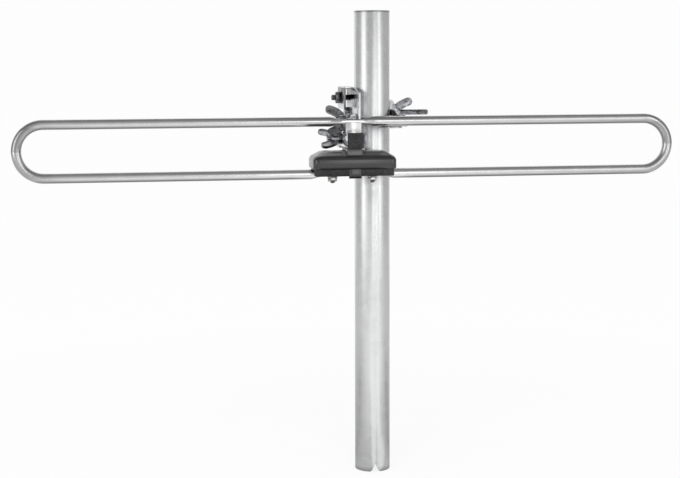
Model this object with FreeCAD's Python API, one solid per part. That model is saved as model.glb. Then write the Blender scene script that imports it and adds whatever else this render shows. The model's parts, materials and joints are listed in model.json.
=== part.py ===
"""Outdoor folded-dipole radio antenna on its mast, clamped through a short square boom.

Millimetres, +Z up. The origin is on the mast's axis at its lower end, +X runs along the dipole
to the right and -Y points to the front, where the boom's plugged end and the terminal box are.
"""
import FreeCAD
import Part
import math
import os

Vec = FreeCAD.Vector
UP = Vec(0, 0, 1)
DOWN = Vec(0, 0, -1)
LEFT = Vec(-1, 0, 0)
RIGHT = Vec(1, 0, 0)
BACK = Vec(0, 1, 0)

# Mast
MAST_DIAMETER = 35.0
MAST_WALL = 1.5
MAST_LENGTH = 460.0
NOTCH_WIDTH = 7.0
NOTCH_HEIGHT = 8.5

# Boom
BOOM_SIDE = 15.0
BOOM_WALL = 1.2
BOOM_LENGTH = 92.0
BOOM_REACH = 65.0
BOOM_HEIGHT = 336.5
PLUG_FLANGE = 1.5
PLUG_DEPTH = 8.0
PLUG_DIMPLE_DIAMETER = 2.4
PLUG_DIMPLE_DEPTH = 0.4

# Dipole
LOOP_LENGTH = 640.0
LOOP_SPACING = 50.0
LOOP_REACH = 46.3
ROD_DIAMETER = 9.5
ROD_WALL = 1.0
FLAT_THICKNESS = 4.4
FLAT_WIDTH = 12.6
RAIL_FLAT_LENGTH = 20.0
END_FLAT_LENGTH = 18.0
FLAT_RUNOUT = 12.0
FEED_GAP = 22.0
TERMINAL_SPACING = 38.6

# Saddle under the upper rail
SADDLE_HEIGHT = 7.8
SADDLE_LIP = 2.0
SADDLE_LIP_RISE = 1.6

# Terminal box
LID_WIDTH = 80.0
LID_DEPTH = 42.0
LID_CORNER = 6.0
LID_WALL = 2.0
LID_LEDGE = 1.5
LID_SKIRT = 4.0
SHOULDER_RADIUS = 5.8
SHOULDER_SWEEP = 74.0
SHOULDER_STEPS = 3
ROOF_RISE = 3.3
ROOF_STEPS = 2
CROWN_SIDE = 11.5
CROWN_FRONT = 15.0
CROWN_BACK = 8.0
CRADLE_RISE = 3.0
CRADLE_LENGTH = 34.0
BASE_DROP = 1.0
BASE_RISE = 5.7
TONGUE_HEIGHT = 2.5
BASE_WALL = 2.0
LATCH_WIDTH = 12.0
LATCH_HOOK = 2.2
LATCH_GRIP = 1.6
SEAL_WIDTH = 1.4

# Balun and coaxial socket
BOARD_WIDTH = 24.0
BOARD_DEPTH = 26.0
BOARD_THICKNESS = 1.6
BOARD_POST_HEIGHT = 2.2
BOARD_POST_DIAMETER = 4.0
CORE_WIDTH = 12.0
CORE_DEPTH = 6.5
CORE_HEIGHT = 5.0
CORE_HOLE = 2.6
LUG_THICKNESS = 0.8
LUG_WIDTH = 8.0
SOCKET_DIAMETER = 9.4
SOCKET_LENGTH = 9.0
SOCKET_INSIDE = 4.0
SOCKET_FLANGE = 2.0
SOCKET_FLANGE_DIAMETER = 10.8
SOCKET_NECK_DIAMETER = 9.8
SOCKET_BORE = 3.4
SOCKET_OFFSET = 22.0
SOCKET_HEIGHT = 5.4
SOCKET_FLATS = 12.0
SOCKET_NUT_HEIGHT = 2.2
SOCKET_BOSS_DIAMETER = 13.0
SOCKET_BOSS_RISE = 2.0
SOCKET_SHROUD = 5.0

# Mast clamp
SHEET = 2.0
BRACKET_FRONT = 39.0
BRACKET_BACK = 36.0
BRACKET_RISE = 42.0
BRACKET_SLANT = 5.0
BRACKET_CORNER = 6.0
HOOD_WIDTH = 11.0
HOOD_FRONT = 4.0
LIP_HEIGHT = 22.0
SHELF_FRONT = 12.0
BEND_ROUND = 1.8
JAW_HEIGHT = 26.0
JAW_DEPTH = 15.0
JAW_HALF_LENGTH = 36.0
JAW_FRONT_HEIGHT = 12.5
JAW_SLANT_FRONT = 18.0
JAW_SLANT_BACK = 16.0
JAW_STANDOFF = 4.4
TOOTH_PITCH = 3.0
TOOTH_DEPTH = 1.2
CLAMP_RISE = 23.0
FRONT_CLAMP_RISE = 17.5
CLAMP_HALF_SPACING = 27.0
SLEEVE_DIAMETER = 10.0
SLEEVE_LENGTH = 9.0
BOOM_BOLT_REACH = 21.0
HOOD_BOLT_BACK = 20.0
HOOD_BOLT_DROP = 11.0

# Fasteners
BOLT_DIAMETER = 6.0
BOLT_HEAD_FLATS = 10.0
BOLT_HEAD_HEIGHT = 4.0
NUT_HEIGHT = 5.0
WASHER_DIAMETER = 12.0
WASHER_THICKNESS = 1.2
TERMINAL_DIAMETER = 5.0
TERMINAL_HEAD_DIAMETER = 9.0
TERMINAL_HEAD_HEIGHT = 3.4
TERMINAL_NUT_FLATS = 8.0
TERMINAL_NUT_HEIGHT = 4.0
TERMINAL_WASHER_DIAMETER = 10.0
TERMINAL_WASHER_THICKNESS = 1.0
THREAD_END = 1.5
END_CHAMFER = 0.6
WING_HUB_DIAMETER = 12.0
WING_HUB_TOP = 10.0
WING_HUB_HEIGHT = 8.5
WING_SPAN = 34.0
WING_HEIGHT = 19.5
WING_THICKNESS = 3.0
WING_TIP_RADIUS = 4.2
FRONT_BOLT_END = 4.0
REAR_BOLT_END = 28.4
BOOM_BOLT_END = 4.0
FRONT_WING_ANGLE = 35.0
REAR_WING_ANGLE = 32.0
BOOM_WING_ANGLE = 63.0

# Clearances
CLAMP_GAP = 0.1
HOLE_GAP = 0.2
THREAD_GAP = 0.05
FIT_GAP = 0.15

# Places that follow from the sizes above
MAST_RADIUS = MAST_DIAMETER / 2
ROD_RADIUS = ROD_DIAMETER / 2
WEB_RIGHT = -(MAST_RADIUS + CLAMP_GAP)
WEB_LEFT = WEB_RIGHT - SHEET
BOOM_X = WEB_LEFT - BOOM_SIDE / 2
BOOM_LEFT = BOOM_X - BOOM_SIDE / 2
BOOM_TOP = BOOM_HEIGHT + BOOM_SIDE / 2
BOOM_BOTTOM = BOOM_HEIGHT - BOOM_SIDE / 2
BOOM_FRONT = -BOOM_REACH
BOOM_REAR = BOOM_FRONT + BOOM_LENGTH
LOOP_Y = -LOOP_REACH
SADDLE_TOP = BOOM_TOP + SADDLE_HEIGHT
TOP_RAIL = SADDLE_TOP + FLAT_THICKNESS / 2
LOW_RAIL = TOP_RAIL - LOOP_SPACING
BASE_BOTTOM = LOW_RAIL - BASE_DROP
PARTING = LOW_RAIL + BASE_RISE
TONGUE_TOP = PARTING + TONGUE_HEIGHT
LID_TOP = BOOM_BOTTOM - CRADLE_RISE
SHOULDER_ANGLE = math.radians(SHOULDER_SWEEP)
SHOULDER_INSET = SHOULDER_RADIUS * (1 - math.cos(SHOULDER_ANGLE))
SHOULDER_TOP = LID_TOP - ROOF_RISE
LID_RIM = SHOULDER_TOP - SHOULDER_RADIUS * math.sin(SHOULDER_ANGLE)
LID_CEILING = LID_TOP - LID_WALL
LEDGE = PARTING + LID_SKIRT
CAVITY_WIDTH = LID_WIDTH - 2 * LID_WALL
CAVITY_DEPTH = LID_DEPTH - 2 * LID_WALL
CAVITY_CORNER = LID_CORNER - LID_WALL
BASE_DEPTH = CAVITY_DEPTH - 2 * HOLE_GAP
BOARD_BOTTOM = TONGUE_TOP + BOARD_POST_HEIGHT
BOARD_TOP = BOARD_BOTTOM + BOARD_THICKNESS
CLAMP_HEIGHT = BOOM_HEIGHT + CLAMP_RISE
FRONT_CLAMP_HEIGHT = BOOM_HEIGHT + FRONT_CLAMP_RISE
BRACKET_TOP = BOOM_TOP + BRACKET_RISE
HOOD_LEFT = WEB_RIGHT - HOOD_WIDTH
HOOD_BOLT_Z = BRACKET_TOP - HOOD_BOLT_DROP
JAW_INSIDE = MAST_RADIUS + JAW_STANDOFF
JAW_OUTSIDE = JAW_INSIDE + SHEET
BOLT_HOLE = BOLT_DIAMETER / 2 + HOLE_GAP
CLAMP_HOLES = [(-CLAMP_HALF_SPACING, FRONT_CLAMP_HEIGHT), (CLAMP_HALF_SPACING, CLAMP_HEIGHT)]
TERMINAL_HOLE = TERMINAL_DIAMETER / 2 + HOLE_GAP
TERMINALS = [BOOM_X - TERMINAL_SPACING / 2, BOOM_X + TERMINAL_SPACING / 2]


def block(x0, x1, y0, y1, z0, z1):
    """Box between two values on each axis."""
    return Part.makeBox(x1 - x0, y1 - y0, z1 - z0, Vec(x0, y0, z0))


def rod(radius, start, direction, length):
    """Round bar from a start point along a direction."""
    return Part.makeCylinder(radius, length, start, direction)


def placed(shape, base, axis):
    """Copy of a shape drawn at the origin along +Z, stood at a base point along an axis."""
    copy = shape.copy()
    copy.Placement = FreeCAD.Placement(base, FreeCAD.Rotation(UP, axis)).multiply(shape.Placement)
    return copy


def fused(shapes):
    """One clean solid from shapes that meet."""
    return shapes[0].multiFuse(shapes[1:]).removeSplitter()


def rounded_plate(width, depth, corner, x, y, z0, z1):
    """Upright prism with a rounded rectangle as its plan, centred on x, y."""
    plate = block(x - width / 2, x + width / 2, y - depth / 2, y + depth / 2, z0, z1)
    upright = [edge for edge in plate.Edges if abs(edge.tangentAt(edge.FirstParameter).z) > 0.9]
    return plate.makeFillet(corner, upright)


def edges_along(shape, axis, points):
    """Edges that run along an axis through any of the given points."""
    found = []
    for edge in shape.Edges:
        middle = edge.CenterOfMass
        straight = abs(edge.tangentAt(edge.FirstParameter).dot(axis)) > 0.99
        for point in points:
            offset = middle - point
            if straight and offset.cross(axis).Length < 0.01:
                found.append(edge)
    return found


def hexagon(flats, height):
    """Hexagonal prism along +Z."""
    corner = flats / math.sqrt(3)
    points = []
    for step in range(7):
        angle = math.radians(60 * step)
        points.append(Vec(corner * math.cos(angle), corner * math.sin(angle), 0))
    return Part.Face(Part.makePolygon(points)).extrude(UP * height)


def hex_bolt(diameter, flats, head_height, length):
    """Bolt whose shank runs along +Z from under its hexagon head, with a chamfered end."""
    shank = Part.makeCylinder(diameter / 2, length - END_CHAMFER)
    tip = Part.makeCone(diameter / 2, diameter / 2 - END_CHAMFER, END_CHAMFER, UP * (length - END_CHAMFER))
    head = hexagon(flats, head_height)
    head.translate(DOWN * head_height)
    return fused([head, shank, tip])


def hex_nut(diameter, flats, height):
    """Hexagon nut along +Z."""
    return hexagon(flats, height).cut(Part.makeCylinder(diameter / 2 + THREAD_GAP, height))


def washer(diameter, hole_radius, thickness):
    """Flat washer along +Z."""
    return Part.makeCylinder(diameter / 2, thickness).cut(Part.makeCylinder(hole_radius, thickness))


def wing_outline():
    """Face of one wing in the XZ plane, a straight-sided lobe with a round tip."""
    reach = WING_SPAN / 2 - WING_TIP_RADIUS
    centre = Vec(reach, 0, WING_HEIGHT - WING_TIP_RADIUS)
    foot = UP * (WING_HUB_HEIGHT / 2)
    run = (centre - foot).normalize()
    side = Vec(-run.z, 0, run.x) * WING_TIP_RADIUS
    foot_side = UP * (WING_HUB_HEIGHT / 2)
    tip = centre + run * WING_TIP_RADIUS
    arc = Part.Arc(centre - side, tip, centre + side).toShape()
    upper = Part.makeLine(centre + side, foot + foot_side)
    root = Part.makeLine(foot + foot_side, foot - foot_side)
    lower = Part.makeLine(foot - foot_side, centre - side)
    return Part.Face(Part.Wire([arc, upper, root, lower]))


def wing_nut(angle):
    """Wing nut along +Z, standing on its hub, with its wings turned by an angle about the axis."""
    hub = Part.makeCone(WING_HUB_DIAMETER / 2, WING_HUB_TOP / 2, WING_HUB_HEIGHT)
    wing = wing_outline().extrude(BACK * WING_THICKNESS)
    wing.translate(BACK * (-WING_THICKNESS / 2))
    other = wing.copy()
    other.rotate(Vec(), UP, 180)
    nut = fused([hub, wing, other])
    nut = nut.cut(Part.makeCylinder(BOLT_DIAMETER / 2 + THREAD_GAP, WING_HEIGHT))
    nut.rotate(Vec(), UP, angle)
    return nut


def tube_section(x, z, width, thickness):
    """Closed outline across the dipole's tube: round where width and thickness agree, else a slot."""
    half = thickness / 2
    if width - thickness < 0.01:
        inner = half * math.cos(math.pi / 4)
        rise = inner
    else:
        inner = (width - thickness) / 2
        rise = half
    corners = [Vec(x, LOOP_Y + sy * inner, z + sz * rise) for sy, sz in ((1, 1), (-1, 1), (-1, -1), (1, -1))]
    top = Vec(x, LOOP_Y, z + half)
    bottom = Vec(x, LOOP_Y, z - half)
    front = Vec(x, LOOP_Y - width / 2, z)
    back = Vec(x, LOOP_Y + width / 2, z)
    middles = [top, front, bottom, back]
    edges = []
    for index in range(4):
        start = corners[index]
        end = corners[(index + 1) % 4]
        if (start + end).multiply(0.5).distanceToPoint(middles[index]) < 0.01:
            edges.append(Part.makeLine(start, end))
        else:
            edges.append(Part.Arc(start, middles[index], end).toShape())
    return Part.Wire(edges)


def round_to_flat(x_round, x_flat, z, gap):
    """Run-out of the tube from its round section to its flattened one, grown by a gap."""
    round_wire = tube_section(x_round, z, ROD_DIAMETER + 2 * gap, ROD_DIAMETER + 2 * gap)
    flat_wire = tube_section(x_flat, z, FLAT_WIDTH + 2 * gap, FLAT_THICKNESS + 2 * gap)
    return Part.makeLoft([round_wire, flat_wire], True)


def flat_bar(x0, x1, z, gap):
    """Flattened stretch of the tube between two x values, grown by a gap."""
    wire = tube_section(x0, z, FLAT_WIDTH + 2 * gap, FLAT_THICKNESS + 2 * gap)
    return Part.Face(wire).extrude(Vec(x1 - x0, 0, 0))


def loop_end(side, reach, gap):
    """Lower tube on one side, from its flattened end near the feed to a reach from the centre."""
    tip = BOOM_X + side * (FEED_GAP / 2 - gap)
    flat_end = BOOM_X + side * (FEED_GAP / 2 + END_FLAT_LENGTH)
    round_start = flat_end + side * FLAT_RUNOUT
    bar = rod(ROD_RADIUS + gap, Vec(round_start, LOOP_Y, LOW_RAIL), RIGHT * side, reach - FEED_GAP / 2
              - END_FLAT_LENGTH - FLAT_RUNOUT)
    return [flat_bar(tip, flat_end, LOW_RAIL, gap), round_to_flat(round_start, flat_end, LOW_RAIL, gap), bar]


def half_bend(side, radius):
    """Half ring of the tube that joins the upper and lower rails on one side."""
    bend_x = BOOM_X + side * (LOOP_LENGTH / 2 - ROD_RADIUS - LOOP_SPACING / 2)
    profile = Part.Face(Part.Wire(Part.makeCircle(radius, Vec(bend_x, LOOP_Y, TOP_RAIL), RIGHT)))
    return profile.revolve(Vec(bend_x, LOOP_Y, (TOP_RAIL + LOW_RAIL) / 2), BACK * side, 180)


def dipole_loop():
    """Folded dipole: one bent tube, flattened at the upper rail's middle and at both ends."""
    straight = LOOP_LENGTH / 2 - ROD_RADIUS - LOOP_SPACING / 2
    half_flat = RAIL_FLAT_LENGTH / 2
    rail_start = half_flat + FLAT_RUNOUT
    low_start = FEED_GAP / 2 + END_FLAT_LENGTH + FLAT_RUNOUT
    inner_radius = ROD_RADIUS - ROD_WALL
    outer = [flat_bar(BOOM_X - half_flat, BOOM_X + half_flat, TOP_RAIL, 0)]
    inner = []
    for side in (-1, 1):
        out = RIGHT * side
        outer += loop_end(side, straight, 0)
        outer.append(half_bend(side, ROD_RADIUS))
        outer.append(round_to_flat(BOOM_X + side * rail_start, BOOM_X + side * half_flat, TOP_RAIL, 0))
        start = Vec(BOOM_X + side * rail_start, LOOP_Y, TOP_RAIL)
        outer.append(rod(ROD_RADIUS, start, out, straight - rail_start))
        low = Vec(BOOM_X + side * low_start, LOOP_Y, LOW_RAIL)
        inner.append(fused([rod(inner_radius, start, out, straight - rail_start), half_bend(side, inner_radius),
                            rod(inner_radius, low, out, straight - low_start)]))
    loop = fused(outer)
    for hollow in inner:
        loop = loop.cut(hollow)
    for x in TERMINALS:
        loop = loop.cut(rod(TERMINAL_HOLE, Vec(x, LOOP_Y, LOW_RAIL - ROD_DIAMETER), UP, 2 * ROD_DIAMETER))
    return loop.cut(rod(BOLT_HOLE, Vec(BOOM_X, LOOP_Y, TOP_RAIL - ROD_DIAMETER), UP, 2 * ROD_DIAMETER))


def mast_tube():
    """Round mast, open at both ends, with a pointed notch through its lower edge at front and back."""
    tube = Part.makeCylinder(MAST_RADIUS, MAST_LENGTH).cut(Part.makeCylinder(MAST_RADIUS - MAST_WALL, MAST_LENGTH))
    half = NOTCH_WIDTH / 2
    points = [Vec(-half, -MAST_RADIUS, 0), Vec(half, -MAST_RADIUS, 0), Vec(0, -MAST_RADIUS, NOTCH_HEIGHT)]
    notch = Part.Face(Part.makePolygon(points + points[:1])).extrude(BACK * MAST_DIAMETER)
    return tube.cut(notch)


def boom_tube():
    """Square boom with the holes for the upright bolt and for the cross bolt."""
    half = BOOM_SIDE / 2
    hollow = half - BOOM_WALL
    tube = block(BOOM_X - half, BOOM_X + half, BOOM_FRONT, BOOM_REAR, BOOM_BOTTOM, BOOM_TOP)
    tube = tube.cut(block(BOOM_X - hollow, BOOM_X + hollow, BOOM_FRONT, BOOM_REAR,
                          BOOM_HEIGHT - hollow, BOOM_HEIGHT + hollow))
    tube = tube.cut(rod(BOLT_HOLE, Vec(BOOM_X, LOOP_Y, BOOM_BOTTOM), UP, BOOM_SIDE))
    return tube.cut(rod(BOLT_HOLE, Vec(BOOM_LEFT, -BOOM_BOLT_REACH, BOOM_HEIGHT), RIGHT, BOOM_SIDE))


def boom_plug(end_y, outward):
    """Plug in one end of the boom, with a flush flange and a moulding dimple."""
    half = BOOM_SIDE / 2
    stem = half - BOOM_WALL - FIT_GAP
    outer_y = end_y + outward * PLUG_FLANGE
    inner_y = end_y - outward * PLUG_DEPTH
    flange = block(BOOM_X - half, BOOM_X + half, min(end_y, outer_y), max(end_y, outer_y), BOOM_BOTTOM, BOOM_TOP)
    body = block(BOOM_X - stem, BOOM_X + stem, min(end_y, inner_y), max(end_y, inner_y),
                 BOOM_HEIGHT - stem, BOOM_HEIGHT + stem)
    dimple = rod(PLUG_DIMPLE_DIAMETER / 2, Vec(BOOM_X, outer_y, BOOM_HEIGHT), BACK * -outward, PLUG_DIMPLE_DEPTH)
    return fused([flange, body]).cut(dimple)


def rail_saddle():
    """Saddle on the boom whose two lips keep the flattened rail square to it."""
    half_x = BOOM_SIDE / 2
    seat = FLAT_WIDTH / 2 + FIT_GAP
    half_y = seat + SADDLE_LIP
    saddle = block(BOOM_X - half_x, BOOM_X + half_x, LOOP_Y - half_y, LOOP_Y + half_y,
                   BOOM_TOP, SADDLE_TOP + SADDLE_LIP_RISE)
    saddle = saddle.cut(block(BOOM_X - half_x, BOOM_X + half_x, LOOP_Y - seat, LOOP_Y + seat,
                              SADDLE_TOP, SADDLE_TOP + SADDLE_LIP_RISE))
    return saddle.cut(rod(BOLT_HOLE, Vec(BOOM_X, LOOP_Y, BOOM_TOP), UP, SADDLE_HEIGHT))


def centre_fasteners():
    """Upright bolt through rail, saddle, boom and box lid, with its washer and its nut inside the box."""
    washer_z = TOP_RAIL + FLAT_THICKNESS / 2
    head_z = washer_z + WASHER_THICKNESS
    length = head_z - LID_CEILING + NUT_HEIGHT + THREAD_END
    bolt = hex_bolt(BOLT_DIAMETER, BOLT_HEAD_FLATS, BOLT_HEAD_HEIGHT, length)
    ring = washer(WASHER_DIAMETER, BOLT_HOLE, WASHER_THICKNESS)
    nut = hex_nut(BOLT_DIAMETER, BOLT_HEAD_FLATS, NUT_HEIGHT)
    return {
        "centre_bolt": placed(bolt, Vec(BOOM_X, LOOP_Y, head_z), DOWN),
        "centre_washer": placed(ring, Vec(BOOM_X, LOOP_Y, washer_z), UP),
        "centre_nut": placed(nut, Vec(BOOM_X, LOOP_Y, LID_CEILING), DOWN),
    }


def latch(facing):
    """Snap hook that hangs from the lid's skirt and grips under the base, at the front or the back."""
    face = LOOP_Y + facing * LID_DEPTH / 2
    inside = face - facing * LID_WALL
    grip = inside - facing * LATCH_GRIP
    half = LATCH_WIDTH / 2
    foot = BASE_BOTTOM - LATCH_HOOK
    arm = block(BOOM_X - half, BOOM_X + half, min(face, inside), max(face, inside), foot, PARTING)
    hook = block(BOOM_X - half, BOOM_X + half, min(inside, grip), max(inside, grip), foot, BASE_BOTTOM)
    return [arm, hook]


def lid_outline(side, front, back, corner, z):
    """Rounded rectangle at a height, set in from the lid's faces by its own amount at the side, front and back."""
    width = LID_WIDTH - 2 * side
    depth = LID_DEPTH - front - back
    plate = rounded_plate(width, depth, corner, BOOM_X, LOOP_Y + (front - back) / 2, z, z + 1)
    floor = [face for face in plate.Faces if face.BoundBox.ZMax < z + 0.01]
    return floor[0].OuterWire


def lid_roof(wall):
    """Round shoulder and hipped roof of the lid, or the hollow that leaves a wall under them."""
    outlines = []
    corner = LID_CORNER - wall
    for step in range(SHOULDER_STEPS + 1):
        angle = SHOULDER_ANGLE * step / SHOULDER_STEPS
        inset = wall + SHOULDER_RADIUS * (1 - math.cos(angle))
        height = LID_RIM + SHOULDER_RADIUS * math.sin(angle)
        outlines.append(lid_outline(inset, inset, inset, corner, height - wall))
    for step in range(1, ROOF_STEPS + 1):
        share = step / ROOF_STEPS
        insets = [wall + SHOULDER_INSET + (end - SHOULDER_INSET) * share
                  for end in (CROWN_SIDE, CROWN_FRONT, CROWN_BACK)]
        height = SHOULDER_TOP + ROOF_RISE * math.sin(math.pi / 2 * share)
        outlines.append(lid_outline(*insets, corner, height - wall))
    return Part.makeLoft(outlines, True, False)


def box_lid():
    """Hipped lid that hoods the base, with a cradle for the boom, two snap hooks and the socket's hole."""
    skirt = rounded_plate(LID_WIDTH, LID_DEPTH, LID_CORNER, BOOM_X, LOOP_Y, PARTING, LID_RIM)
    cradle_front = LOOP_Y - LID_DEPTH / 2 + SHOULDER_INSET
    half = BOOM_SIDE / 2
    cradle = block(BOOM_X - half, BOOM_X + half, cradle_front, cradle_front + CRADLE_LENGTH,
                   SHOULDER_TOP - LID_WALL, BOOM_BOTTOM)
    lid = fused([skirt, lid_roof(0), cradle] + latch(-1) + latch(1))
    upper_width = CAVITY_WIDTH - 2 * LID_LEDGE
    upper_depth = CAVITY_DEPTH - 2 * LID_LEDGE
    upper_corner = CAVITY_CORNER - LID_LEDGE
    lid = lid.cut(rounded_plate(upper_width, upper_depth, upper_corner, BOOM_X, LOOP_Y, LEDGE, LID_RIM - LID_WALL))
    lid = lid.cut(lid_roof(LID_WALL))
    lid = lid.cut(rod(BOLT_HOLE, Vec(BOOM_X, LOOP_Y, LID_CEILING), UP, BOOM_BOTTOM - LID_CEILING))
    shroud_start = socket_seat() - BACK * SOCKET_SHROUD
    boss = rod(SOCKET_BOSS_DIAMETER / 2, shroud_start, BACK, SOCKET_SHROUD + socket_wall())
    lid = fused([lid, boss])
    lid = lid.cut(rounded_plate(CAVITY_WIDTH, CAVITY_DEPTH, CAVITY_CORNER, BOOM_X, LOOP_Y, PARTING, LEDGE))
    lid = lid.cut(rod(SOCKET_NECK_DIAMETER / 2 + HOLE_GAP, socket_seat(), BACK, socket_wall()))
    return lid.cut(rod(SOCKET_FLANGE_DIAMETER / 2 + HOLE_GAP, shroud_start, BACK, SOCKET_SHROUD))


def socket_seat():
    """Point on the inside of the lid's back wall where the coaxial socket's flange sits."""
    wall = LOOP_Y + CAVITY_DEPTH / 2 - LID_LEDGE
    return Vec(BOOM_X - SOCKET_OFFSET, wall, LEDGE + SOCKET_HEIGHT)


def socket_wall():
    """Depth of the boss that the coaxial socket passes through."""
    return LID_WALL + LID_LEDGE + SOCKET_BOSS_RISE


def box_base():
    """Base that plugs into the lid, with channels for the dipole's ends and pockets beside them."""
    width = CAVITY_WIDTH - 2 * FIT_GAP
    base = rounded_plate(width, BASE_DEPTH, CAVITY_CORNER, BOOM_X, LOOP_Y, BASE_BOTTOM, TONGUE_TOP)
    channel_half = FLAT_WIDTH / 2 + FIT_GAP + BASE_WALL
    pocket_half = width / 2 - CAVITY_CORNER
    pocket_end = BASE_DEPTH / 2 - BASE_WALL
    for y0, y1 in ((-pocket_end, -channel_half), (channel_half, pocket_end)):
        base = base.cut(block(BOOM_X - pocket_half, BOOM_X + pocket_half, LOOP_Y + y0, LOOP_Y + y1,
                              BASE_BOTTOM, PARTING))
    for side in (-1, 1):
        for piece in loop_end(side, LID_WIDTH, FIT_GAP):
            base = base.cut(piece)
        base = base.cut(channel_mouth(side))
    posts = []
    for sx in (-1, 1):
        for sy in (-1, 1):
            point = board_post(sx, sy)
            posts.append(rod(BOARD_POST_DIAMETER / 2, point, UP, BOARD_POST_HEIGHT))
    base = fused([base] + posts)
    for x in TERMINALS:
        base = base.cut(rod(TERMINAL_HOLE, Vec(x, LOOP_Y, BASE_BOTTOM), UP, TONGUE_TOP - BASE_BOTTOM))
    return base


def channel_mouth(side):
    """Space below one dipole end that leaves its channel open to the underside."""
    start = FEED_GAP / 2 - FIT_GAP
    run = END_FLAT_LENGTH + FLAT_RUNOUT + FIT_GAP
    flat = FLAT_WIDTH / 2 + FIT_GAP
    x0 = BOOM_X + side * start
    x1 = BOOM_X + side * (start + run)
    x2 = BOOM_X + side * LID_WIDTH
    narrow = ROD_RADIUS + FIT_GAP
    inner = block(min(x0, x1), max(x0, x1), LOOP_Y - flat, LOOP_Y + flat, BASE_BOTTOM, LOW_RAIL)
    outer = block(min(x1, x2), max(x1, x2), LOOP_Y - narrow, LOOP_Y + narrow, BASE_BOTTOM, LOW_RAIL)
    return fused([inner, outer])


def board_post(sx, sy):
    """Foot of one of the four posts that carry the balun board."""
    inset = BOARD_POST_DIAMETER / 2
    x = BOOM_X + sx * (BOARD_WIDTH / 2 - inset)
    y = LOOP_Y + sy * (BOARD_DEPTH / 2 - inset)
    return Vec(x, y, TONGUE_TOP)


def box_seal():
    """Rubber ring on the base's tongue, under the lid's ledge."""
    width = CAVITY_WIDTH - 2 * FIT_GAP
    ring = rounded_plate(width, BASE_DEPTH, CAVITY_CORNER, BOOM_X, LOOP_Y, TONGUE_TOP, LEDGE)
    hole = rounded_plate(width - 2 * SEAL_WIDTH, BASE_DEPTH - 2 * SEAL_WIDTH, CAVITY_CORNER - SEAL_WIDTH,
                         BOOM_X, LOOP_Y, TONGUE_TOP, LEDGE)
    return ring.cut(hole)


def terminal_fasteners():
    """Pairs of screws, lugs, washers and nuts that join the dipole's ends to the balun."""
    washer_z = LOW_RAIL - FLAT_THICKNESS / 2
    nut_z = washer_z - TERMINAL_WASHER_THICKNESS
    head_z = TONGUE_TOP + LUG_THICKNESS
    length = head_z - nut_z + TERMINAL_NUT_HEIGHT + THREAD_END
    head = Part.makeCylinder(TERMINAL_HEAD_DIAMETER / 2, TERMINAL_HEAD_HEIGHT, DOWN * TERMINAL_HEAD_HEIGHT)
    screw = fused([head, Part.makeCylinder(TERMINAL_DIAMETER / 2, length)])
    ring = washer(TERMINAL_WASHER_DIAMETER, TERMINAL_HOLE, TERMINAL_WASHER_THICKNESS)
    nut = hex_nut(TERMINAL_DIAMETER, TERMINAL_NUT_FLATS, TERMINAL_NUT_HEIGHT)
    screws = [placed(screw, Vec(x, LOOP_Y, head_z), DOWN) for x in TERMINALS]
    rings = [placed(ring, Vec(x, LOOP_Y, washer_z), DOWN) for x in TERMINALS]
    nuts = [placed(nut, Vec(x, LOOP_Y, nut_z), DOWN) for x in TERMINALS]
    return {
        "terminal_screws": Part.makeCompound(screws),
        "terminal_washers": Part.makeCompound(rings),
        "terminal_nuts": Part.makeCompound(nuts),
        "terminal_lugs": Part.makeCompound([terminal_lug(side) for side in (-1, 1)]),
    }


def terminal_lug(side):
    """Strip from under one terminal screw's head that turns up against the balun board's edge."""
    screw_x = BOOM_X + side * TERMINAL_SPACING / 2
    edge = BOOM_X + side * BOARD_WIDTH / 2
    half = LUG_WIDTH / 2
    eye = rod(half, Vec(screw_x, LOOP_Y, TONGUE_TOP), UP, LUG_THICKNESS)
    strip = block(min(screw_x, edge), max(screw_x, edge), LOOP_Y - half, LOOP_Y + half,
                  TONGUE_TOP, TONGUE_TOP + LUG_THICKNESS)
    riser_end = edge + side * LUG_THICKNESS
    riser = block(min(edge, riser_end), max(edge, riser_end), LOOP_Y - half, LOOP_Y + half, TONGUE_TOP, BOARD_TOP)
    lug = fused([eye, strip, riser])
    return lug.cut(rod(TERMINAL_HOLE, Vec(screw_x, LOOP_Y, TONGUE_TOP), UP, LUG_THICKNESS))


def balun_board():
    """Circuit board on the base's posts."""
    half_x = BOARD_WIDTH / 2
    half_y = BOARD_DEPTH / 2
    return block(BOOM_X - half_x, BOOM_X + half_x, LOOP_Y - half_y, LOOP_Y + half_y, BOARD_BOTTOM, BOARD_TOP)


def balun_core():
    """Two-hole ferrite core on the front of the balun board."""
    y0 = LOOP_Y - BOARD_DEPTH / 2
    core = block(BOOM_X - CORE_WIDTH / 2, BOOM_X + CORE_WIDTH / 2, y0, y0 + CORE_DEPTH, BOARD_TOP,
                 BOARD_TOP + CORE_HEIGHT)
    for side in (-1, 1):
        centre = Vec(BOOM_X + side * CORE_WIDTH / 4, y0, BOARD_TOP + CORE_HEIGHT / 2)
        core = core.cut(rod(CORE_HOLE / 2, centre, BACK, CORE_DEPTH))
    return core


def coax_socket():
    """Coaxial socket through the lid's back wall, with a flange inside and a threaded end outside."""
    seat = socket_seat()
    barrel = rod(SOCKET_DIAMETER / 2, seat - BACK * SOCKET_INSIDE, BACK,
                 SOCKET_INSIDE + socket_wall() + SOCKET_LENGTH)
    flange = rod(SOCKET_FLANGE_DIAMETER / 2, seat - BACK * SOCKET_FLANGE, BACK, SOCKET_FLANGE)
    neck = rod(SOCKET_NECK_DIAMETER / 2, seat, BACK, socket_wall() + SOCKET_NUT_HEIGHT)
    bore_start = seat + BACK * socket_wall()
    return fused([barrel, flange, neck]).cut(rod(SOCKET_BORE / 2, bore_start, BACK, SOCKET_LENGTH))


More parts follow.
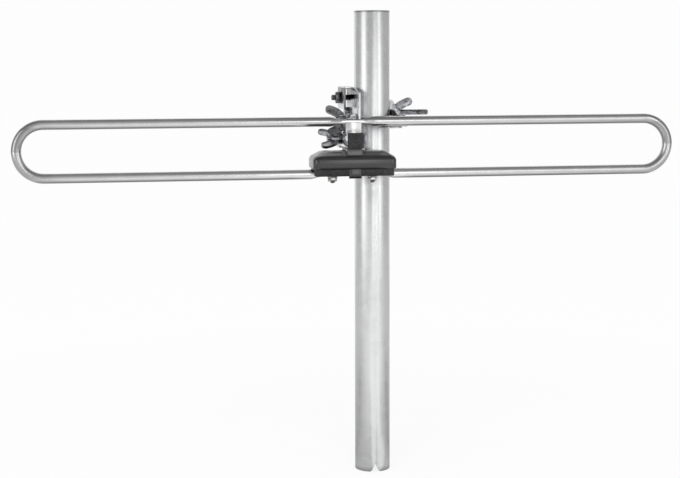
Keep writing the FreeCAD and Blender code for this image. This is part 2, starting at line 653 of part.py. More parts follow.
def coax_nut():
    """Thin hexagon nut that holds the coaxial socket from outside."""
    nut = hexagon(SOCKET_FLATS, SOCKET_NUT_HEIGHT)
    nut = nut.cut(Part.makeCylinder(SOCKET_NECK_DIAMETER / 2 + THREAD_GAP, SOCKET_NUT_HEIGHT))
    return placed(nut, socket_seat() + BACK * socket_wall(), BACK)


def mast_bracket():
    """Pressed plate between boom and mast, folded at the top into a hood and below into a shelf."""
    low = BOOM_BOTTOM - SHEET
    front = -BRACKET_FRONT
    outline = [
        (front, low + BRACKET_CORNER),
        (front + BRACKET_CORNER, low),
        (BRACKET_BACK, low),
        (BRACKET_BACK, BRACKET_TOP),
        (-HOOD_FRONT, BRACKET_TOP),
        (front, BRACKET_TOP - BRACKET_SLANT),
    ]
    points = [Vec(WEB_LEFT, y, z) for y, z in outline]
    web = Part.Face(Part.makePolygon(points + points[:1])).extrude(RIGHT * SHEET)
    hood = block(HOOD_LEFT, WEB_RIGHT, -HOOD_FRONT, BRACKET_BACK, BRACKET_TOP - SHEET, BRACKET_TOP)
    lip = block(HOOD_LEFT, HOOD_LEFT + SHEET, -HOOD_FRONT, BRACKET_BACK, BRACKET_TOP - LIP_HEIGHT, BRACKET_TOP)
    shelf = block(BOOM_LEFT, WEB_RIGHT, -SHELF_FRONT, BRACKET_BACK, low, BOOM_BOTTOM)
    bracket = fused([web, hood, lip, shelf])
    bends = [Vec(HOOD_LEFT, 0, BRACKET_TOP), Vec(WEB_RIGHT, 0, BRACKET_TOP), Vec(WEB_RIGHT, 0, low)]
    bracket = bracket.makeFillet(BEND_ROUND, edges_along(bracket, BACK, bends))
    for y, z in CLAMP_HOLES:
        bracket = bracket.cut(rod(BOLT_HOLE, Vec(WEB_LEFT, y, z), RIGHT, SHEET))
    bracket = bracket.cut(rod(BOLT_HOLE, Vec(WEB_LEFT, -BOOM_BOLT_REACH, BOOM_HEIGHT), RIGHT, SHEET))
    return bracket.cut(rod(BOLT_HOLE, Vec(HOOD_LEFT, HOOD_BOLT_BACK, HOOD_BOLT_Z), RIGHT, HOOD_WIDTH))


def toothed_notch():
    """Plan of the jaw's V notch, whose teeth touch the mast along two lines at forty-five degrees."""
    reach = MAST_RADIUS + CLAMP_GAP
    corner = reach * math.sqrt(2)
    start = JAW_INSIDE - JAW_DEPTH + SHEET
    run = (JAW_INSIDE - start) * math.sqrt(2)
    count = int(run / TOOTH_PITCH)
    edge = []
    for index in range(count + 1):
        x = start + index * TOOTH_PITCH / math.sqrt(2)
        edge.append((x, corner - x))
        middle = x + TOOTH_PITCH / 2 / math.sqrt(2)
        root = TOOTH_DEPTH / math.sqrt(2)
        if index < count:
            edge.append((middle + root, corner - middle + root))
    upper = [Vec(x, y, 0) for x, y in edge]
    lower = [Vec(x, -y, 0) for x, y in reversed(edge)]
    return [Vec(start - SHEET, upper[0].y, 0)] + upper + lower + [Vec(start - SHEET, lower[-1].y, 0)]


def mast_jaw():
    """Pressed channel across the mast, with a toothed V notch in its flanges and a slanted, lower front end."""
    z0 = CLAMP_HEIGHT - JAW_HEIGHT / 2
    z1 = CLAMP_HEIGHT + JAW_HEIGHT / 2
    start = JAW_OUTSIDE - JAW_DEPTH
    half = JAW_HALF_LENGTH
    jaw = block(start, JAW_OUTSIDE, -half, half, z0, z1)
    bends = [Vec(JAW_OUTSIDE, 0, z0), Vec(JAW_OUTSIDE, 0, z1)]
    jaw = jaw.makeFillet(BEND_ROUND, edges_along(jaw, BACK, bends))
    jaw = jaw.cut(block(start, JAW_INSIDE, -half, half, z0 + SHEET, z1 - SHEET))
    notch = toothed_notch()
    void = Part.Face(Part.makePolygon(notch + notch[:1])).extrude(UP * JAW_HEIGHT)
    void.translate(UP * z0)
    jaw = jaw.cut(void)
    low = z0 + JAW_FRONT_HEIGHT
    outline = [(-half, low), (-JAW_SLANT_FRONT, low), (JAW_SLANT_BACK, z1), (-half, z1)]
    corner = [Vec(start, y, z) for y, z in outline]
    jaw = jaw.cut(Part.Face(Part.makePolygon(corner + corner[:1])).extrude(RIGHT * JAW_DEPTH))
    for y, z in CLAMP_HOLES:
        jaw = jaw.cut(rod(BOLT_HOLE, Vec(JAW_INSIDE, y, z), RIGHT, SHEET))
    return jaw


def clamp_fasteners():
    """Bolts that draw the jaw to the bracket: the front one tightens on the left, the rear one on the right."""
    ring = washer(WASHER_DIAMETER, BOLT_HOLE, WASHER_THICKNESS)
    grip = JAW_OUTSIDE - WEB_LEFT + WASHER_THICKNESS + WING_HUB_HEIGHT
    front = hex_bolt(BOLT_DIAMETER, BOLT_HEAD_FLATS, BOLT_HEAD_HEIGHT, grip + SLEEVE_LENGTH + FRONT_BOLT_END)
    rear = hex_bolt(BOLT_DIAMETER, BOLT_HEAD_FLATS, BOLT_HEAD_HEIGHT, grip + REAR_BOLT_END)
    sleeve = washer(SLEEVE_DIAMETER, BOLT_HOLE, SLEEVE_LENGTH)
    sleeve_foot = Vec(WEB_LEFT, -CLAMP_HALF_SPACING, FRONT_CLAMP_HEIGHT)
    left = sleeve_foot + LEFT * SLEEVE_LENGTH
    right = Vec(JAW_OUTSIDE, CLAMP_HALF_SPACING, CLAMP_HEIGHT)
    washers = [placed(ring, left, LEFT), placed(ring, right, RIGHT)]
    return {
        "front_clamp_bolt": placed(front, Vec(JAW_OUTSIDE, -CLAMP_HALF_SPACING, FRONT_CLAMP_HEIGHT), LEFT),
        "rear_clamp_bolt": placed(rear, Vec(WEB_LEFT, CLAMP_HALF_SPACING, CLAMP_HEIGHT), RIGHT),
        "clamp_sleeve": placed(sleeve, sleeve_foot, LEFT),
        "clamp_washers": Part.makeCompound(washers),
        "front_wing_nut": placed(wing_nut(FRONT_WING_ANGLE), left + LEFT * WASHER_THICKNESS, LEFT),
        "rear_wing_nut": placed(wing_nut(REAR_WING_ANGLE), right + RIGHT * WASHER_THICKNESS, RIGHT),
    }


def boom_fasteners():
    """Cross bolt that holds the boom to the bracket, with its washer and wing nut on the left."""
    length = WEB_RIGHT - BOOM_LEFT + WASHER_THICKNESS + WING_HUB_HEIGHT + BOOM_BOLT_END
    bolt = hex_bolt(BOLT_DIAMETER, BOLT_HEAD_FLATS, BOLT_HEAD_HEIGHT, length)
    ring = washer(WASHER_DIAMETER, BOLT_HOLE, WASHER_THICKNESS)
    left = Vec(BOOM_LEFT, -BOOM_BOLT_REACH, BOOM_HEIGHT)
    return {
        "boom_bolt": placed(bolt, Vec(WEB_RIGHT, -BOOM_BOLT_REACH, BOOM_HEIGHT), LEFT),
        "boom_washer": placed(ring, left, LEFT),
        "boom_wing_nut": placed(wing_nut(BOOM_WING_ANGLE), left + LEFT * WASHER_THICKNESS, LEFT),
    }


def hood_fasteners():
    """Cross bolt that ties the hood's lip to the bracket's plate, with its nut on the left."""
    bolt = hex_bolt(BOLT_DIAMETER, BOLT_HEAD_FLATS, BOLT_HEAD_HEIGHT, HOOD_WIDTH + NUT_HEIGHT + BOOM_BOLT_END)
    nut = hex_nut(BOLT_DIAMETER, BOLT_HEAD_FLATS, NUT_HEIGHT)
    return {
        "hood_bolt": placed(bolt, Vec(WEB_RIGHT, HOOD_BOLT_BACK, HOOD_BOLT_Z), LEFT),
        "hood_nut": placed(nut, Vec(HOOD_LEFT, HOOD_BOLT_BACK, HOOD_BOLT_Z), LEFT),
    }


def build():
    """All pieces by name."""
    pieces = {
        "mast_tube": mast_tube(),
        "dipole_loop": dipole_loop(),
        "boom_tube": boom_tube(),
        "boom_front_plug": boom_plug(BOOM_FRONT, -1),
        "boom_rear_plug": boom_plug(BOOM_REAR, 1),
        "rail_saddle": rail_saddle(),
        "box_lid": box_lid(),
        "box_base": box_base(),
        "box_seal": box_seal(),
        "balun_board": balun_board(),
        "balun_core": balun_core(),
        "coax_socket": coax_socket(),
        "coax_nut": coax_nut(),
        "mast_bracket": mast_bracket(),
        "mast_jaw": mast_jaw(),
    }
    for group in (centre_fasteners, terminal_fasteners, clamp_fasteners, boom_fasteners, hood_fasteners):
        pieces.update(group())
    return pieces


os.makedirs("parts", exist_ok=True)
for name, shape in build().items():
    shape.exportStep(os.path.join("parts", name + ".step"))
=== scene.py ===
"""Outdoor radio antenna: a folded dipole and its terminal box on a short boom, clamped to a mast.

Metres, +Z up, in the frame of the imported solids, which are loaded first and stay where they are.
"""
import json
import math

import bmesh
import bpy
from mathutils import Matrix, Vector

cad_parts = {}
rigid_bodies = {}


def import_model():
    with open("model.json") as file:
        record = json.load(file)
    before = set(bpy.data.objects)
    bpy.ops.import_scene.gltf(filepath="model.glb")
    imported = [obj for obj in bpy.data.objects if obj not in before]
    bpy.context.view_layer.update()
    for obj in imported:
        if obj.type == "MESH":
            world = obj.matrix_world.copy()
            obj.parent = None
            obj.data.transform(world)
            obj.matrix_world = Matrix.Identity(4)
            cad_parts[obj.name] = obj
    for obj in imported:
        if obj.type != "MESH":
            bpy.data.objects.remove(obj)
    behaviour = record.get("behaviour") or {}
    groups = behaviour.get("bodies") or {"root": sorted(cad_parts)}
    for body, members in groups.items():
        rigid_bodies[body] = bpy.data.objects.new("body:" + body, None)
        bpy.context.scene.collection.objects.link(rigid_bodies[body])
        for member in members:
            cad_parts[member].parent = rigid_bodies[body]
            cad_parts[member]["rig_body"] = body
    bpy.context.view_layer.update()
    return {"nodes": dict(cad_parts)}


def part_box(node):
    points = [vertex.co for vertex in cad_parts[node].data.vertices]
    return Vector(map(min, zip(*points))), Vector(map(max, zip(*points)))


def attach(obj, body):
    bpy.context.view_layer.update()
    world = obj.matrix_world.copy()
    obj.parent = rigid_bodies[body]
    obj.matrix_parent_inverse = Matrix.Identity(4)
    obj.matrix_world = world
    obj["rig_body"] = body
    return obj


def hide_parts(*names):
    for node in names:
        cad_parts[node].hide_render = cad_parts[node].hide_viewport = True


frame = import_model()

bl_info = {
    "name": "Folded Dipole Antenna",
    "version": (1, 0, 0),
    "blender": (4, 5, 0),
    "location": "3D View > Sidebar > Antenna",
    "description": "Dresses an outdoor folded dipole, its terminal box, boom, clamp and mast",
    "category": "Object",
}

MM = 0.001
UP = Vector((0, 0, 1))
DOWN = Vector((0, 0, -1))
LEFT = Vector((-1, 0, 0))
RIGHT = Vector((1, 0, 0))
BACK = Vector((0, 1, 0))
FRONT = Vector((0, -1, 0))
WHITE = (1.0, 1.0, 1.0, 1.0)

ROUND = 48  # points round a turned piece
WELD = 0.01 * MM  # points closer than this are merged
THREAD_ROOM = 0.05 * MM  # between a thread and its nut's hole
WASHER_ROOM = 0.2 * MM  # between a thread and its washer's hole
THREAD_DEPTH = 0.55  # share of the pitch
THREAD_ROWS = 6.0  # rows of points in one turn of a thread
THREAD_COLUMNS = 33  # points round a thread, with its seam counted twice
BOLT_EDGE = 0.12 * MM  # rounding of bolts and nuts
WASHER_EDGE = 0.06 * MM  # rounding of washers
HEAD_FACE = 0.96  # share of the width across flats that stays flat on a hexagon's end
WING_RIM = 1.5 * MM  # rim round a wing's sunk face
WING_SINK = 0.65 * MM  # depth of that face


# Properties

def size(name, description, millimetres):
    """Length that a user may change, given in millimetres."""
    return bpy.props.FloatProperty(name=name, description=description, default=millimetres * MM,
                                   unit="LENGTH", precision=5)


def turn(name, description, degrees):
    """Angle that a user may change, given in degrees."""
    return bpy.props.FloatProperty(name=name, description=description,
                                   default=math.radians(degrees), subtype="ANGLE")


def tone(name, description, red, green, blue):
    """Colour that a user may change."""
    return bpy.props.FloatVectorProperty(name=name, description=description, subtype="COLOR",
                                         default=(red, green, blue), min=0.0, max=1.0)


class AntennaSizes(bpy.types.PropertyGroup):
    """Sizes of the pieces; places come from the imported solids."""

    mast_wall: size("Mast wall", "Thickness of the mast's wall", 1.5)
    notch_width: size("Notch width", "Width of the notch in the mast's lower edge", 7.0)
    notch_height: size("Notch height", "Height of the notch in the mast's lower edge", 8.5)
    notch_ease: size("Notch ease", "Rounding of the notch's lower corners", 2.2)
    rod_diameter: size("Rod diameter", "Outside of the dipole's tube", 9.5)
    flat_thickness: size("Flat thickness", "Thickness of the tube where it is pressed flat", 4.4)
    flat_width: size("Flat width", "Width of the tube where it is pressed flat", 12.6)
    rail_flat: size("Rail flat", "Length of the flat at the upper rail's middle", 20.0)
    end_flat: size("End flat", "Length of the flat at each end of the tube", 18.0)
    flat_runout: size("Run-out", "Length over which a flat turns round again", 12.0)
    feed_gap: size("Feed gap", "Gap between the two ends of the tube", 22.0)
    boom_wall: size("Boom wall", "Thickness of the boom's wall", 1.2)
    boom_corner: size("Boom corner", "Outside radius of the boom's corners", 1.3)
    plug_flange: size("Plug flange", "Thickness of a plug's flange outside the boom", 1.5)
    lid_depth: size("Lid depth", "Depth of the box lid from front to back", 42.0)
    lid_corner: size("Lid corner", "Radius of the box lid's upright corners", 6.0)
    lid_wall: size("Lid wall", "Thickness of the box lid's wall", 2.0)
    shoulder_radius: size("Shoulder radius", "Radius of the lid's round shoulder", 5.8)
    shoulder_sweep: turn("Shoulder sweep", "Angle that the lid's shoulder turns through", 74.0)
    roof_rise: size("Roof rise", "Height of the lid's crown over its shoulder", 3.3)
    crown_side: size("Crown side", "Distance of the crown from the lid's sides", 11.5)
    crown_front: size("Crown front", "Distance of the crown from the lid's front", 15.0)
    crown_back: size("Crown back", "Distance of the crown from the lid's back", 8.0)
    cradle_rise: size("Cradle rise", "Height of the boom's cradle over the lid's crown", 3.0)
    cradle_length: size("Cradle length", "Length of the boom's cradle", 34.0)
    parting_rise: size("Parting rise", "Height of the box's parting line over the lower rail", 5.7)
    latch_width: size("Latch width", "Width of a snap hook", 12.0)
    boss_diameter: size("Boss diameter", "Diameter of the boss round the coaxial socket", 13.0)
    bolt_diameter: size("Bolt diameter", "Outside of the bolts' thread", 6.0)
    bolt_pitch: size("Bolt pitch", "Pitch of the bolts' thread", 1.0)
    bolt_flats: size("Bolt flats", "Width across flats of bolt heads and nuts", 10.0)
    head_height: size("Head height", "Height of a bolt's head", 4.0)
    screw_diameter: size("Terminal diameter", "Outside of the terminal screws' thread", 5.0)
    screw_pitch: size("Terminal pitch", "Pitch of the terminal screws' thread", 0.8)
    screw_head: size("Terminal head", "Diameter of a terminal screw's head", 9.0)
    screw_head_height: size("Terminal head height", "Height of a terminal screw's head", 3.4)
    screw_flats: size("Terminal nut flats", "Width across flats of the terminal nuts", 8.0)
    hub_diameter: size("Hub diameter", "Foot of a wing nut's hub", 12.0)
    hub_top: size("Hub top", "Upper end of a wing nut's hub", 10.0)
    hub_height: size("Hub height", "Height of a wing nut's hub", 8.5)
    wing_span: size("Wing span", "Span over a wing nut's wings", 34.0)
    wing_height: size("Wing height", "Height of a wing nut over its wings", 19.5)
    wing_thickness: size("Wing thickness", "Thickness of a wing", 3.0)
    wing_tip: size("Wing tip", "Radius of a wing's round tip", 4.2)
    front_wing_turn: turn("Front wing turn", "Turn of the front wing nut about its bolt", 35.0)
    rear_wing_turn: turn("Rear wing turn", "Turn of the rear wing nut about its bolt", 32.0)
    boom_wing_turn: turn("Boom wing turn", "Turn of the boom's wing nut about its bolt", 63.0)
    socket_diameter: size("Socket diameter", "Outside of the coaxial socket's thread", 9.4)
    socket_pitch: size("Socket pitch", "Pitch of the coaxial socket's thread", 0.8)
    socket_bore: size("Socket bore", "Hole in the coaxial socket's end", 3.4)


class AntennaFinishes(bpy.types.PropertyGroup):
    """Colours of the finishes."""

    galvanised: tone("Galvanised", "Mast tube", 0.76, 0.765, 0.77)
    cut_edge: tone("Cut edge", "Bare steel at the mast's cut ends", 0.26, 0.26, 0.26)
    aluminium: tone("Aluminium", "Dipole, boom and saddle", 0.76, 0.76, 0.76)
    zinc: tone("Zinc", "Bracket, jaw and fasteners", 0.57, 0.58, 0.61)
    warm_zinc: tone("Warm zinc", "Warm clouds in the zinc", 0.66, 0.65, 0.63)
    plastic: tone("Plastic", "Terminal box and boom plugs", 0.011, 0.011, 0.012)
    # Painted shade: this colour also darkens the corners, hollows and hood of the plated pieces.
    grime_and_shade: tone("Grime", "Corners and hollows of the plated pieces", 0.045, 0.045, 0.050)
    # Painted reflection: this colour lightens the box's roof, as dust and as painted reflection.
    dust_and_sheen: tone("Dust", "Fine dust on the terminal box's roof", 0.060, 0.060, 0.060)
    nickel: tone("Nickel", "Terminals and coaxial socket", 0.62, 0.62, 0.60)
    rubber: tone("Rubber", "Box seal", 0.020, 0.020, 0.021)
    laminate: tone("Laminate", "Balun board", 0.05, 0.22, 0.11)
    ferrite: tone("Ferrite", "Balun core", 0.055, 0.055, 0.060)
    floor: tone("Floor", "Floor and backdrop", 0.90, 0.90, 0.90)


class AntennaStage(bpy.types.PropertyGroup):
    """Camera and light."""

    camera_place: bpy.props.FloatVectorProperty(
        name="Camera place", description="Where the camera stands",
        default=(-0.24522, -1.41746, 0.41595), unit="LENGTH", precision=5)
    camera_yaw: turn("Camera yaw", "Turn of the camera towards +X", 8.537)
    camera_pitch: turn("Camera pitch", "Tilt of the camera towards the floor", 7.190)
    camera_roll: turn("Camera roll", "Roll of the camera about its own axis", -0.246)
    camera_lens: bpy.props.FloatProperty(
        name="Lens", description="Focal length on a 36 mm wide sensor", default=76.735,
        subtype="DISTANCE_CAMERA")
    key_power: bpy.props.FloatProperty(
        name="Key power", description="Power of the large lamp at the front", default=38.0,
        unit="POWER")
    side_power: bpy.props.FloatProperty(
        name="Side power", description="Power of each lamp at the sides", default=4.3,
        unit="POWER")
    fill: bpy.props.FloatProperty(
        name="Fill", description="Strength of the light from all round", default=0.55)


def sizes():
    """The sizes in use."""
    return bpy.context.scene.antenna_sizes


def finishes():
    """The colours in use."""
    return bpy.context.scene.antenna_finishes


# Node trees

def add(tree, kind, inputs=None, **settings):
    """New node with its settings, whose inputs take a value or another node's output."""
    node = tree.nodes.new(kind)
    for key, value in settings.items():
        setattr(node, key, value)
    for key, value in (inputs or {}).items():
        feed(tree, node.inputs[key], value)
    return node


def feed(tree, socket, value):
    """Gives a socket a value or links another node's output to it."""
    if isinstance(value, bpy.types.NodeSocket):
        tree.links.new(value, socket)
    else:
        socket.default_value = value


def calc(tree, operation, first, second=0.0, third=0.0):
    """Output of a math node."""
    inputs = {0: first, 1: second, 2: third}
    return add(tree, "ShaderNodeMath", inputs, operation=operation).outputs[0]


def times(tree, first, second):
    """Output of a node that multiplies."""
    return calc(tree, "MULTIPLY", first, second)


def plus(tree, first, second):
    """Output of a node that adds."""
    return calc(tree, "ADD", first, second)


def minus(tree, first, second):
    """Output of a node that subtracts."""
    return calc(tree, "SUBTRACT", first, second)


def parts(tree, vector):
    """The three parts of a vector."""
    return add(tree, "ShaderNodeSeparateXYZ", {0: vector}).outputs


def new_tree(name, inputs):
    """Geometry node tree with named inputs, its input node and its output node."""
    tree = bpy.data.node_groups.new(name, "GeometryNodeTree")
    sockets = tree.interface
    sockets.new_socket(name="Geometry", in_out="INPUT", socket_type="NodeSocketGeometry")
    for label, kind in inputs.items():
        sockets.new_socket(name=label, in_out="INPUT", socket_type="NodeSocket" + kind)
    sockets.new_socket(name="Geometry", in_out="OUTPUT", socket_type="NodeSocketGeometry")
    given = tree.nodes.new("NodeGroupInput").outputs
    return tree, given, tree.nodes.new("NodeGroupOutput").inputs


def close_tree(tree, geometry, material, out):
    """Ends a tree in real geometry with its material."""
    real = add(tree, "GeometryNodeRealizeInstances", {"Geometry": geometry})
    dressed = add(tree, "GeometryNodeSetMaterial",
                  {"Geometry": real.outputs[0], "Material": material})
    tree.links.new(dressed.outputs[0], out[0])


def grown(data, tree, values):
    """Plain mesh that a tree makes from an object's data."""
    obj = linked(tree.name, data)
    modifier = obj.modifiers.new(tree.name, "NODES")
    modifier.node_group = tree
    for item in tree.interface.items_tree:
        if item.in_out == "INPUT" and item.name in values:
            modifier[item.identifier] = values[item.name]
    mesh = evaluated(obj)
    bpy.data.objects.remove(obj)
    return mesh


def linked(name, data):
    """New object in the scene."""
    obj = bpy.data.objects.new(name, data)
    bpy.context.scene.collection.objects.link(obj)
    return obj


def evaluated(obj):
    """Plain mesh of an object with its modifiers applied."""
    graph = bpy.context.evaluated_depsgraph_get()
    graph.update()
    return bpy.data.meshes.new_from_object(obj.evaluated_get(graph), depsgraph=graph)


# Finishes

def finish(name, metallic=0.0):
    """New material with its tree and main shader."""
    material = bpy.data.materials.new(name)
    material.use_nodes = True
    shader = material.node_tree.nodes["Principled BSDF"]
    shader.inputs["Metallic"].default_value = metallic
    return material, material.node_tree, shader


def coat(tree, shader, colour, roughness):
    """Gives a shader its colour and roughness."""
    feed(tree, shader.inputs["Base Color"], colour)
    feed(tree, shader.inputs["Roughness"], roughness)


def opaque(colour):
    """Colour with full cover."""
    return list(colour) + [1.0]


def own_place(tree):
    """The object's own coordinates."""
    return add(tree, "ShaderNodeTexCoord").outputs["Object"]


def grain(tree, scale, detail=3.0):
    """Noise from 0 to 1, with one scale or one for each of the object's own axes."""
    scales = scale if isinstance(scale, tuple) else (scale, scale, scale)
    place = add(tree, "ShaderNodeMapping", {"Vector": own_place(tree), "Scale": scales}).outputs[0]
    noise = {"Vector": place, "Scale": 1.0, "Detail": detail, "Roughness": 0.55}
    return add(tree, "ShaderNodeTexNoise", noise).outputs["Fac"]


def ranged(tree, factor, low, high, start=0.3, stop=0.7):
    """Factor spread over a range of values."""
    inputs = {"Value": factor, "From Min": start, "From Max": stop, "To Min": low, "To Max": high}
    return add(tree, "ShaderNodeMapRange", inputs).outputs["Result"]


def shaded(tree, noise, colour, dark, light, start=0.3, stop=0.7):
    """Colour that varies with a noise between a darker and a lighter share of itself."""
    low = opaque(channel * dark for channel in colour)
    high = opaque(min(channel * light, 1.0) for channel in colour)
    return blended(tree, ranged(tree, noise, 0.0, 1.0, start, stop), low, high)


def blended(tree, factor, low, high):
    """Colour between two others."""
    mix = add(tree, "ShaderNodeMix", {"Factor": factor}, data_type="RGBA")
    ends = [socket for socket in mix.inputs if socket.type == "RGBA"]
    feed(tree, ends[0], low)
    feed(tree, ends[1], high)
    return [socket for socket in mix.outputs if socket.type == "RGBA"][0]


def bumped(tree, shader, height, strength, distance):
    """Fine relief on a shader."""
    relief = {"Height": height, "Strength": strength, "Distance": distance}
    tree.links.new(add(tree, "ShaderNodeBump", relief).outputs[0], shader.inputs["Normal"])


def openness(tree, reach, hidden, exposed, start, stop):
    """Value from hidden, deep in a corner or a hollow, to exposed, on an open surface."""
    share = add(tree, "ShaderNodeAmbientOcclusion", {"Distance": reach}, samples=8).outputs["AO"]
    return ranged(tree, share, hidden, exposed, start, stop)


def recessed(tree, colour, reach):
    """Colour with painted shade: it darkens towards the colour of grime and shade in corners and
    hollows, by ambient occlusion.
    """
    share = openness(tree, reach, 0.0, 1.0, 0.30, 0.85)
    return blended(tree, share, opaque(finishes().grime_and_shade), colour)


def toward_grime_and_shade(tree, share, colour):
    """Colour that darkens by a share, towards the colour of grime and painted shade."""
    return blended(tree, share, colour, opaque(finishes().grime_and_shade))


def galvanised_finish():
    """Galvanised tube: crystal mottle, long drawing streaks, a soft sheen and darker cut ends."""
    material, tree, shader = finish("galvanised_mast", metallic=1.0)
    streaks = grain(tree, (900, 900, 7), 5.0)
    broad = grain(tree, (160, 160, 2.5))
    place = own_place(tree)
    cells = add(tree, "ShaderNodeTexVoronoi", {"Vector": place, "Scale": 130.0}).outputs["Color"]
    crystal = add(tree, "ShaderNodeSeparateColor", {"Color": cells}).outputs[0]
    mottle = calc(tree, "MULTIPLY_ADD", crystal, 0.35, times(tree, broad, 0.65))
    colour = shaded(tree, mottle, finishes().galvanised, 0.94, 1.04, 0.2, 0.8)
    low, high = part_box("mast_tube")
    height = parts(tree, place)[2]
    top = ranged(tree, height, 0.0, 0.8, high.z - 2.4 * MM, high.z - 0.9 * MM)
    foot = ranged(tree, height, 0.6, 0.0, low.z + 0.8 * MM, low.z + 5.0 * MM)
    cut = calc(tree, "MAXIMUM", top, foot)
    gloss = calc(tree, "MULTIPLY_ADD", crystal, 0.06, ranged(tree, streaks, 0.24, 0.34))
    coat(tree, shader, blended(tree, cut, colour, opaque(finishes().cut_edge)), gloss)
    bumped(tree, shader, calc(tree, "MULTIPLY_ADD", broad, 0.6, streaks), 0.10, 0.25 * MM)
    return material


def aluminium_finish():
    """Bright drawn tube: lines along X and a hard gloss, darker at the end bends, with painted
    shade at the upper rail's pressed middle and under the rails.
    """
    material, tree, shader = finish("bright_aluminium", metallic=1.0)
    lines = grain(tree, (9, 1500, 1500), 4.0)
    colour = shaded(tree, grain(tree, 60), finishes().aluminium, 0.93, 1.04)
    low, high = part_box("dipole_loop")
    half = (high.x - low.x) / 2
    radius = sizes().rod_diameter / 2
    place = parts(tree, own_place(tree))
    off_middle = calc(tree, "ABSOLUTE", minus(tree, place[0], (low.x + high.x) / 2))
    upper = calc(tree, "GREATER_THAN", place[2], (low.z + high.z) / 2)
    bend = ranged(tree, off_middle, 0.0, 0.6, half - 40 * MM, half - 15 * MM)
    # Painted shade: the upper rail's pressed middle is darkened, toning down its reflection.
    pressed = times(tree, ranged(tree, off_middle, 0.0, 0.45, 10 * MM, 16 * MM),
                    ranged(tree, off_middle, 1.0, 0.0, 50 * MM, 110 * MM))
    bends_and_flat = calc(tree, "MAXIMUM", bend, times(tree, pressed, upper))
    # Painted shade: the rails' undersides are darkened, away from the box.
    rail = calc(tree, "MULTIPLY_ADD", upper, high.z - low.z - 2 * radius, low.z + radius)
    under = ranged(tree, minus(tree, rail, place[2]), 0.0, 1.0, radius * 0.15, radius * 0.70)
    clear_of_box = ranged(tree, off_middle, 0.0, 1.0, 34 * MM, 60 * MM)
    darkening = calc(tree, "MAXIMUM", bends_and_flat, times(tree, under, clear_of_box))
    darker_aluminium = opaque(channel * 0.50 for channel in finishes().aluminium)
    coat(tree, shader, blended(tree, darkening, colour, darker_aluminium), ranged(tree, lines, 0.13, 0.25))
    bumped(tree, shader, lines, 0.08, 0.1 * MM)
    return material


def zinc_look(name):
    """Blue-white zinc plate with warm and cool clouds, as material, tree, shader and colour."""
    material, tree, shader = finish(name, metallic=1.0)
    cloud = grain(tree, 110)
    fine = grain(tree, 1300)
    warmth = ranged(tree, cloud, 0.0, 0.75, 0.42, 0.72)
    colour = blended(tree, warmth, opaque(finishes().zinc), opaque(finishes().warm_zinc))
    mottle = calc(tree, "MULTIPLY_ADD", fine, 0.4, times(tree, cloud, 0.6))
    coat(tree, shader, colour, ranged(tree, mottle, 0.16, 0.32))
    bumped(tree, shader, fine, 0.10, 0.12 * MM)
    return material, tree, shader, colour


def tarnished_finish(name, scale, detail, low, high, start=0.3, stop=0.7):
    """Zinc plate that is tarnished in patches, with painted shade in its corners and threads."""
    material, tree, shader, colour = zinc_look(name)
    patches = ranged(tree, grain(tree, scale, detail), low, high, start, stop)
    # Painted shade in corners and threads, over the patches.
    dark = recessed(tree, toward_grime_and_shade(tree, patches, colour), 6 * MM)
    feed(tree, shader.inputs["Base Color"], dark)
    return material


def bracket_finish():
    """Zinc plate of the bracket, with painted shade under its hood."""
    material, tree, shader, colour = zinc_look("zinc_bracket")
    low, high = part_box("mast_bracket")
    skin = 1.0 * MM
    x, y, z = parts(tree, own_place(tree))
    between = times(tree, calc(tree, "GREATER_THAN", x, low.x + skin),
                    calc(tree, "LESS_THAN", x, high.x - skin))
    inside = times(tree, between, calc(tree, "LESS_THAN", z, high.z - skin))
    depth = ranged(tree, z, 0.0, 0.95, high.z - 20 * MM, high.z - 10 * MM)
    reach = ranged(tree, y, 0.0, 1.0, high.y - 52 * MM, high.y - 34 * MM)
    # Painted shade: the inside of the hood darkens towards its top and its back.
    share = times(tree, inside, times(tree, depth, reach))
    feed(tree, shader.inputs["Base Color"], toward_grime_and_shade(tree, share, colour))
    return material


def plastic_finish():
    """Moulded black plastic: eroded grain, slight bloom, satin gloss, dull corners, and a roof
    lightened by dust and by painted reflection.
    """
    material, tree, shader = finish("black_plastic")
    shader.inputs["Specular IOR Level"].default_value = 0.9
    cells = grain(tree, 1500, 2.0)
    bloom = grain(tree, 45, 4.0)
    colour = shaded(tree, bloom, finishes().plastic, 0.8, 1.3)
    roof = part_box("box_lid")[1].z - sizes().cradle_rise - sizes().roof_rise
    height = parts(tree, own_place(tree))[2]
    # Painted reflection: the roof is lightened towards the dust colour, partly dust, partly painted
    # reflection.
    on_roof = ranged(tree, height, 0.0, 1.0, roof - 0.8 * MM, roof + 0.6 * MM)
    dust_and_sheen_share = times(tree, on_roof, ranged(tree, bloom, 0.6, 1.0))
    gloss = calc(tree, "MULTIPLY_ADD", bloom, 0.10, ranged(tree, cells, 0.12, 0.20))
    corners = openness(tree, 4 * MM, 0.55, 0.0, 0.45, 0.95)
    coat(tree, shader, blended(tree, dust_and_sheen_share, colour, opaque(finishes().dust_and_sheen)),
         plus(tree, gloss, corners))
    bumped(tree, shader, cells, 0.14, 0.15 * MM)
    return material


def matt_finish():
    """Soft black plastic of the boom's plugs and the box's base: matt, with flow marks."""
    material, tree, shader = finish("matt_plastic")
    cells = grain(tree, 1100)
    flow = grain(tree, 320, 4.0)
    colour = shaded(tree, flow, finishes().plastic, 0.7, 1.9)
    coat(tree, shader, colour, ranged(tree, flow, 0.62, 0.40))
    bumped(tree, shader, calc(tree, "MULTIPLY_ADD", flow, 0.8, cells), 0.22, 0.2 * MM)
    return material


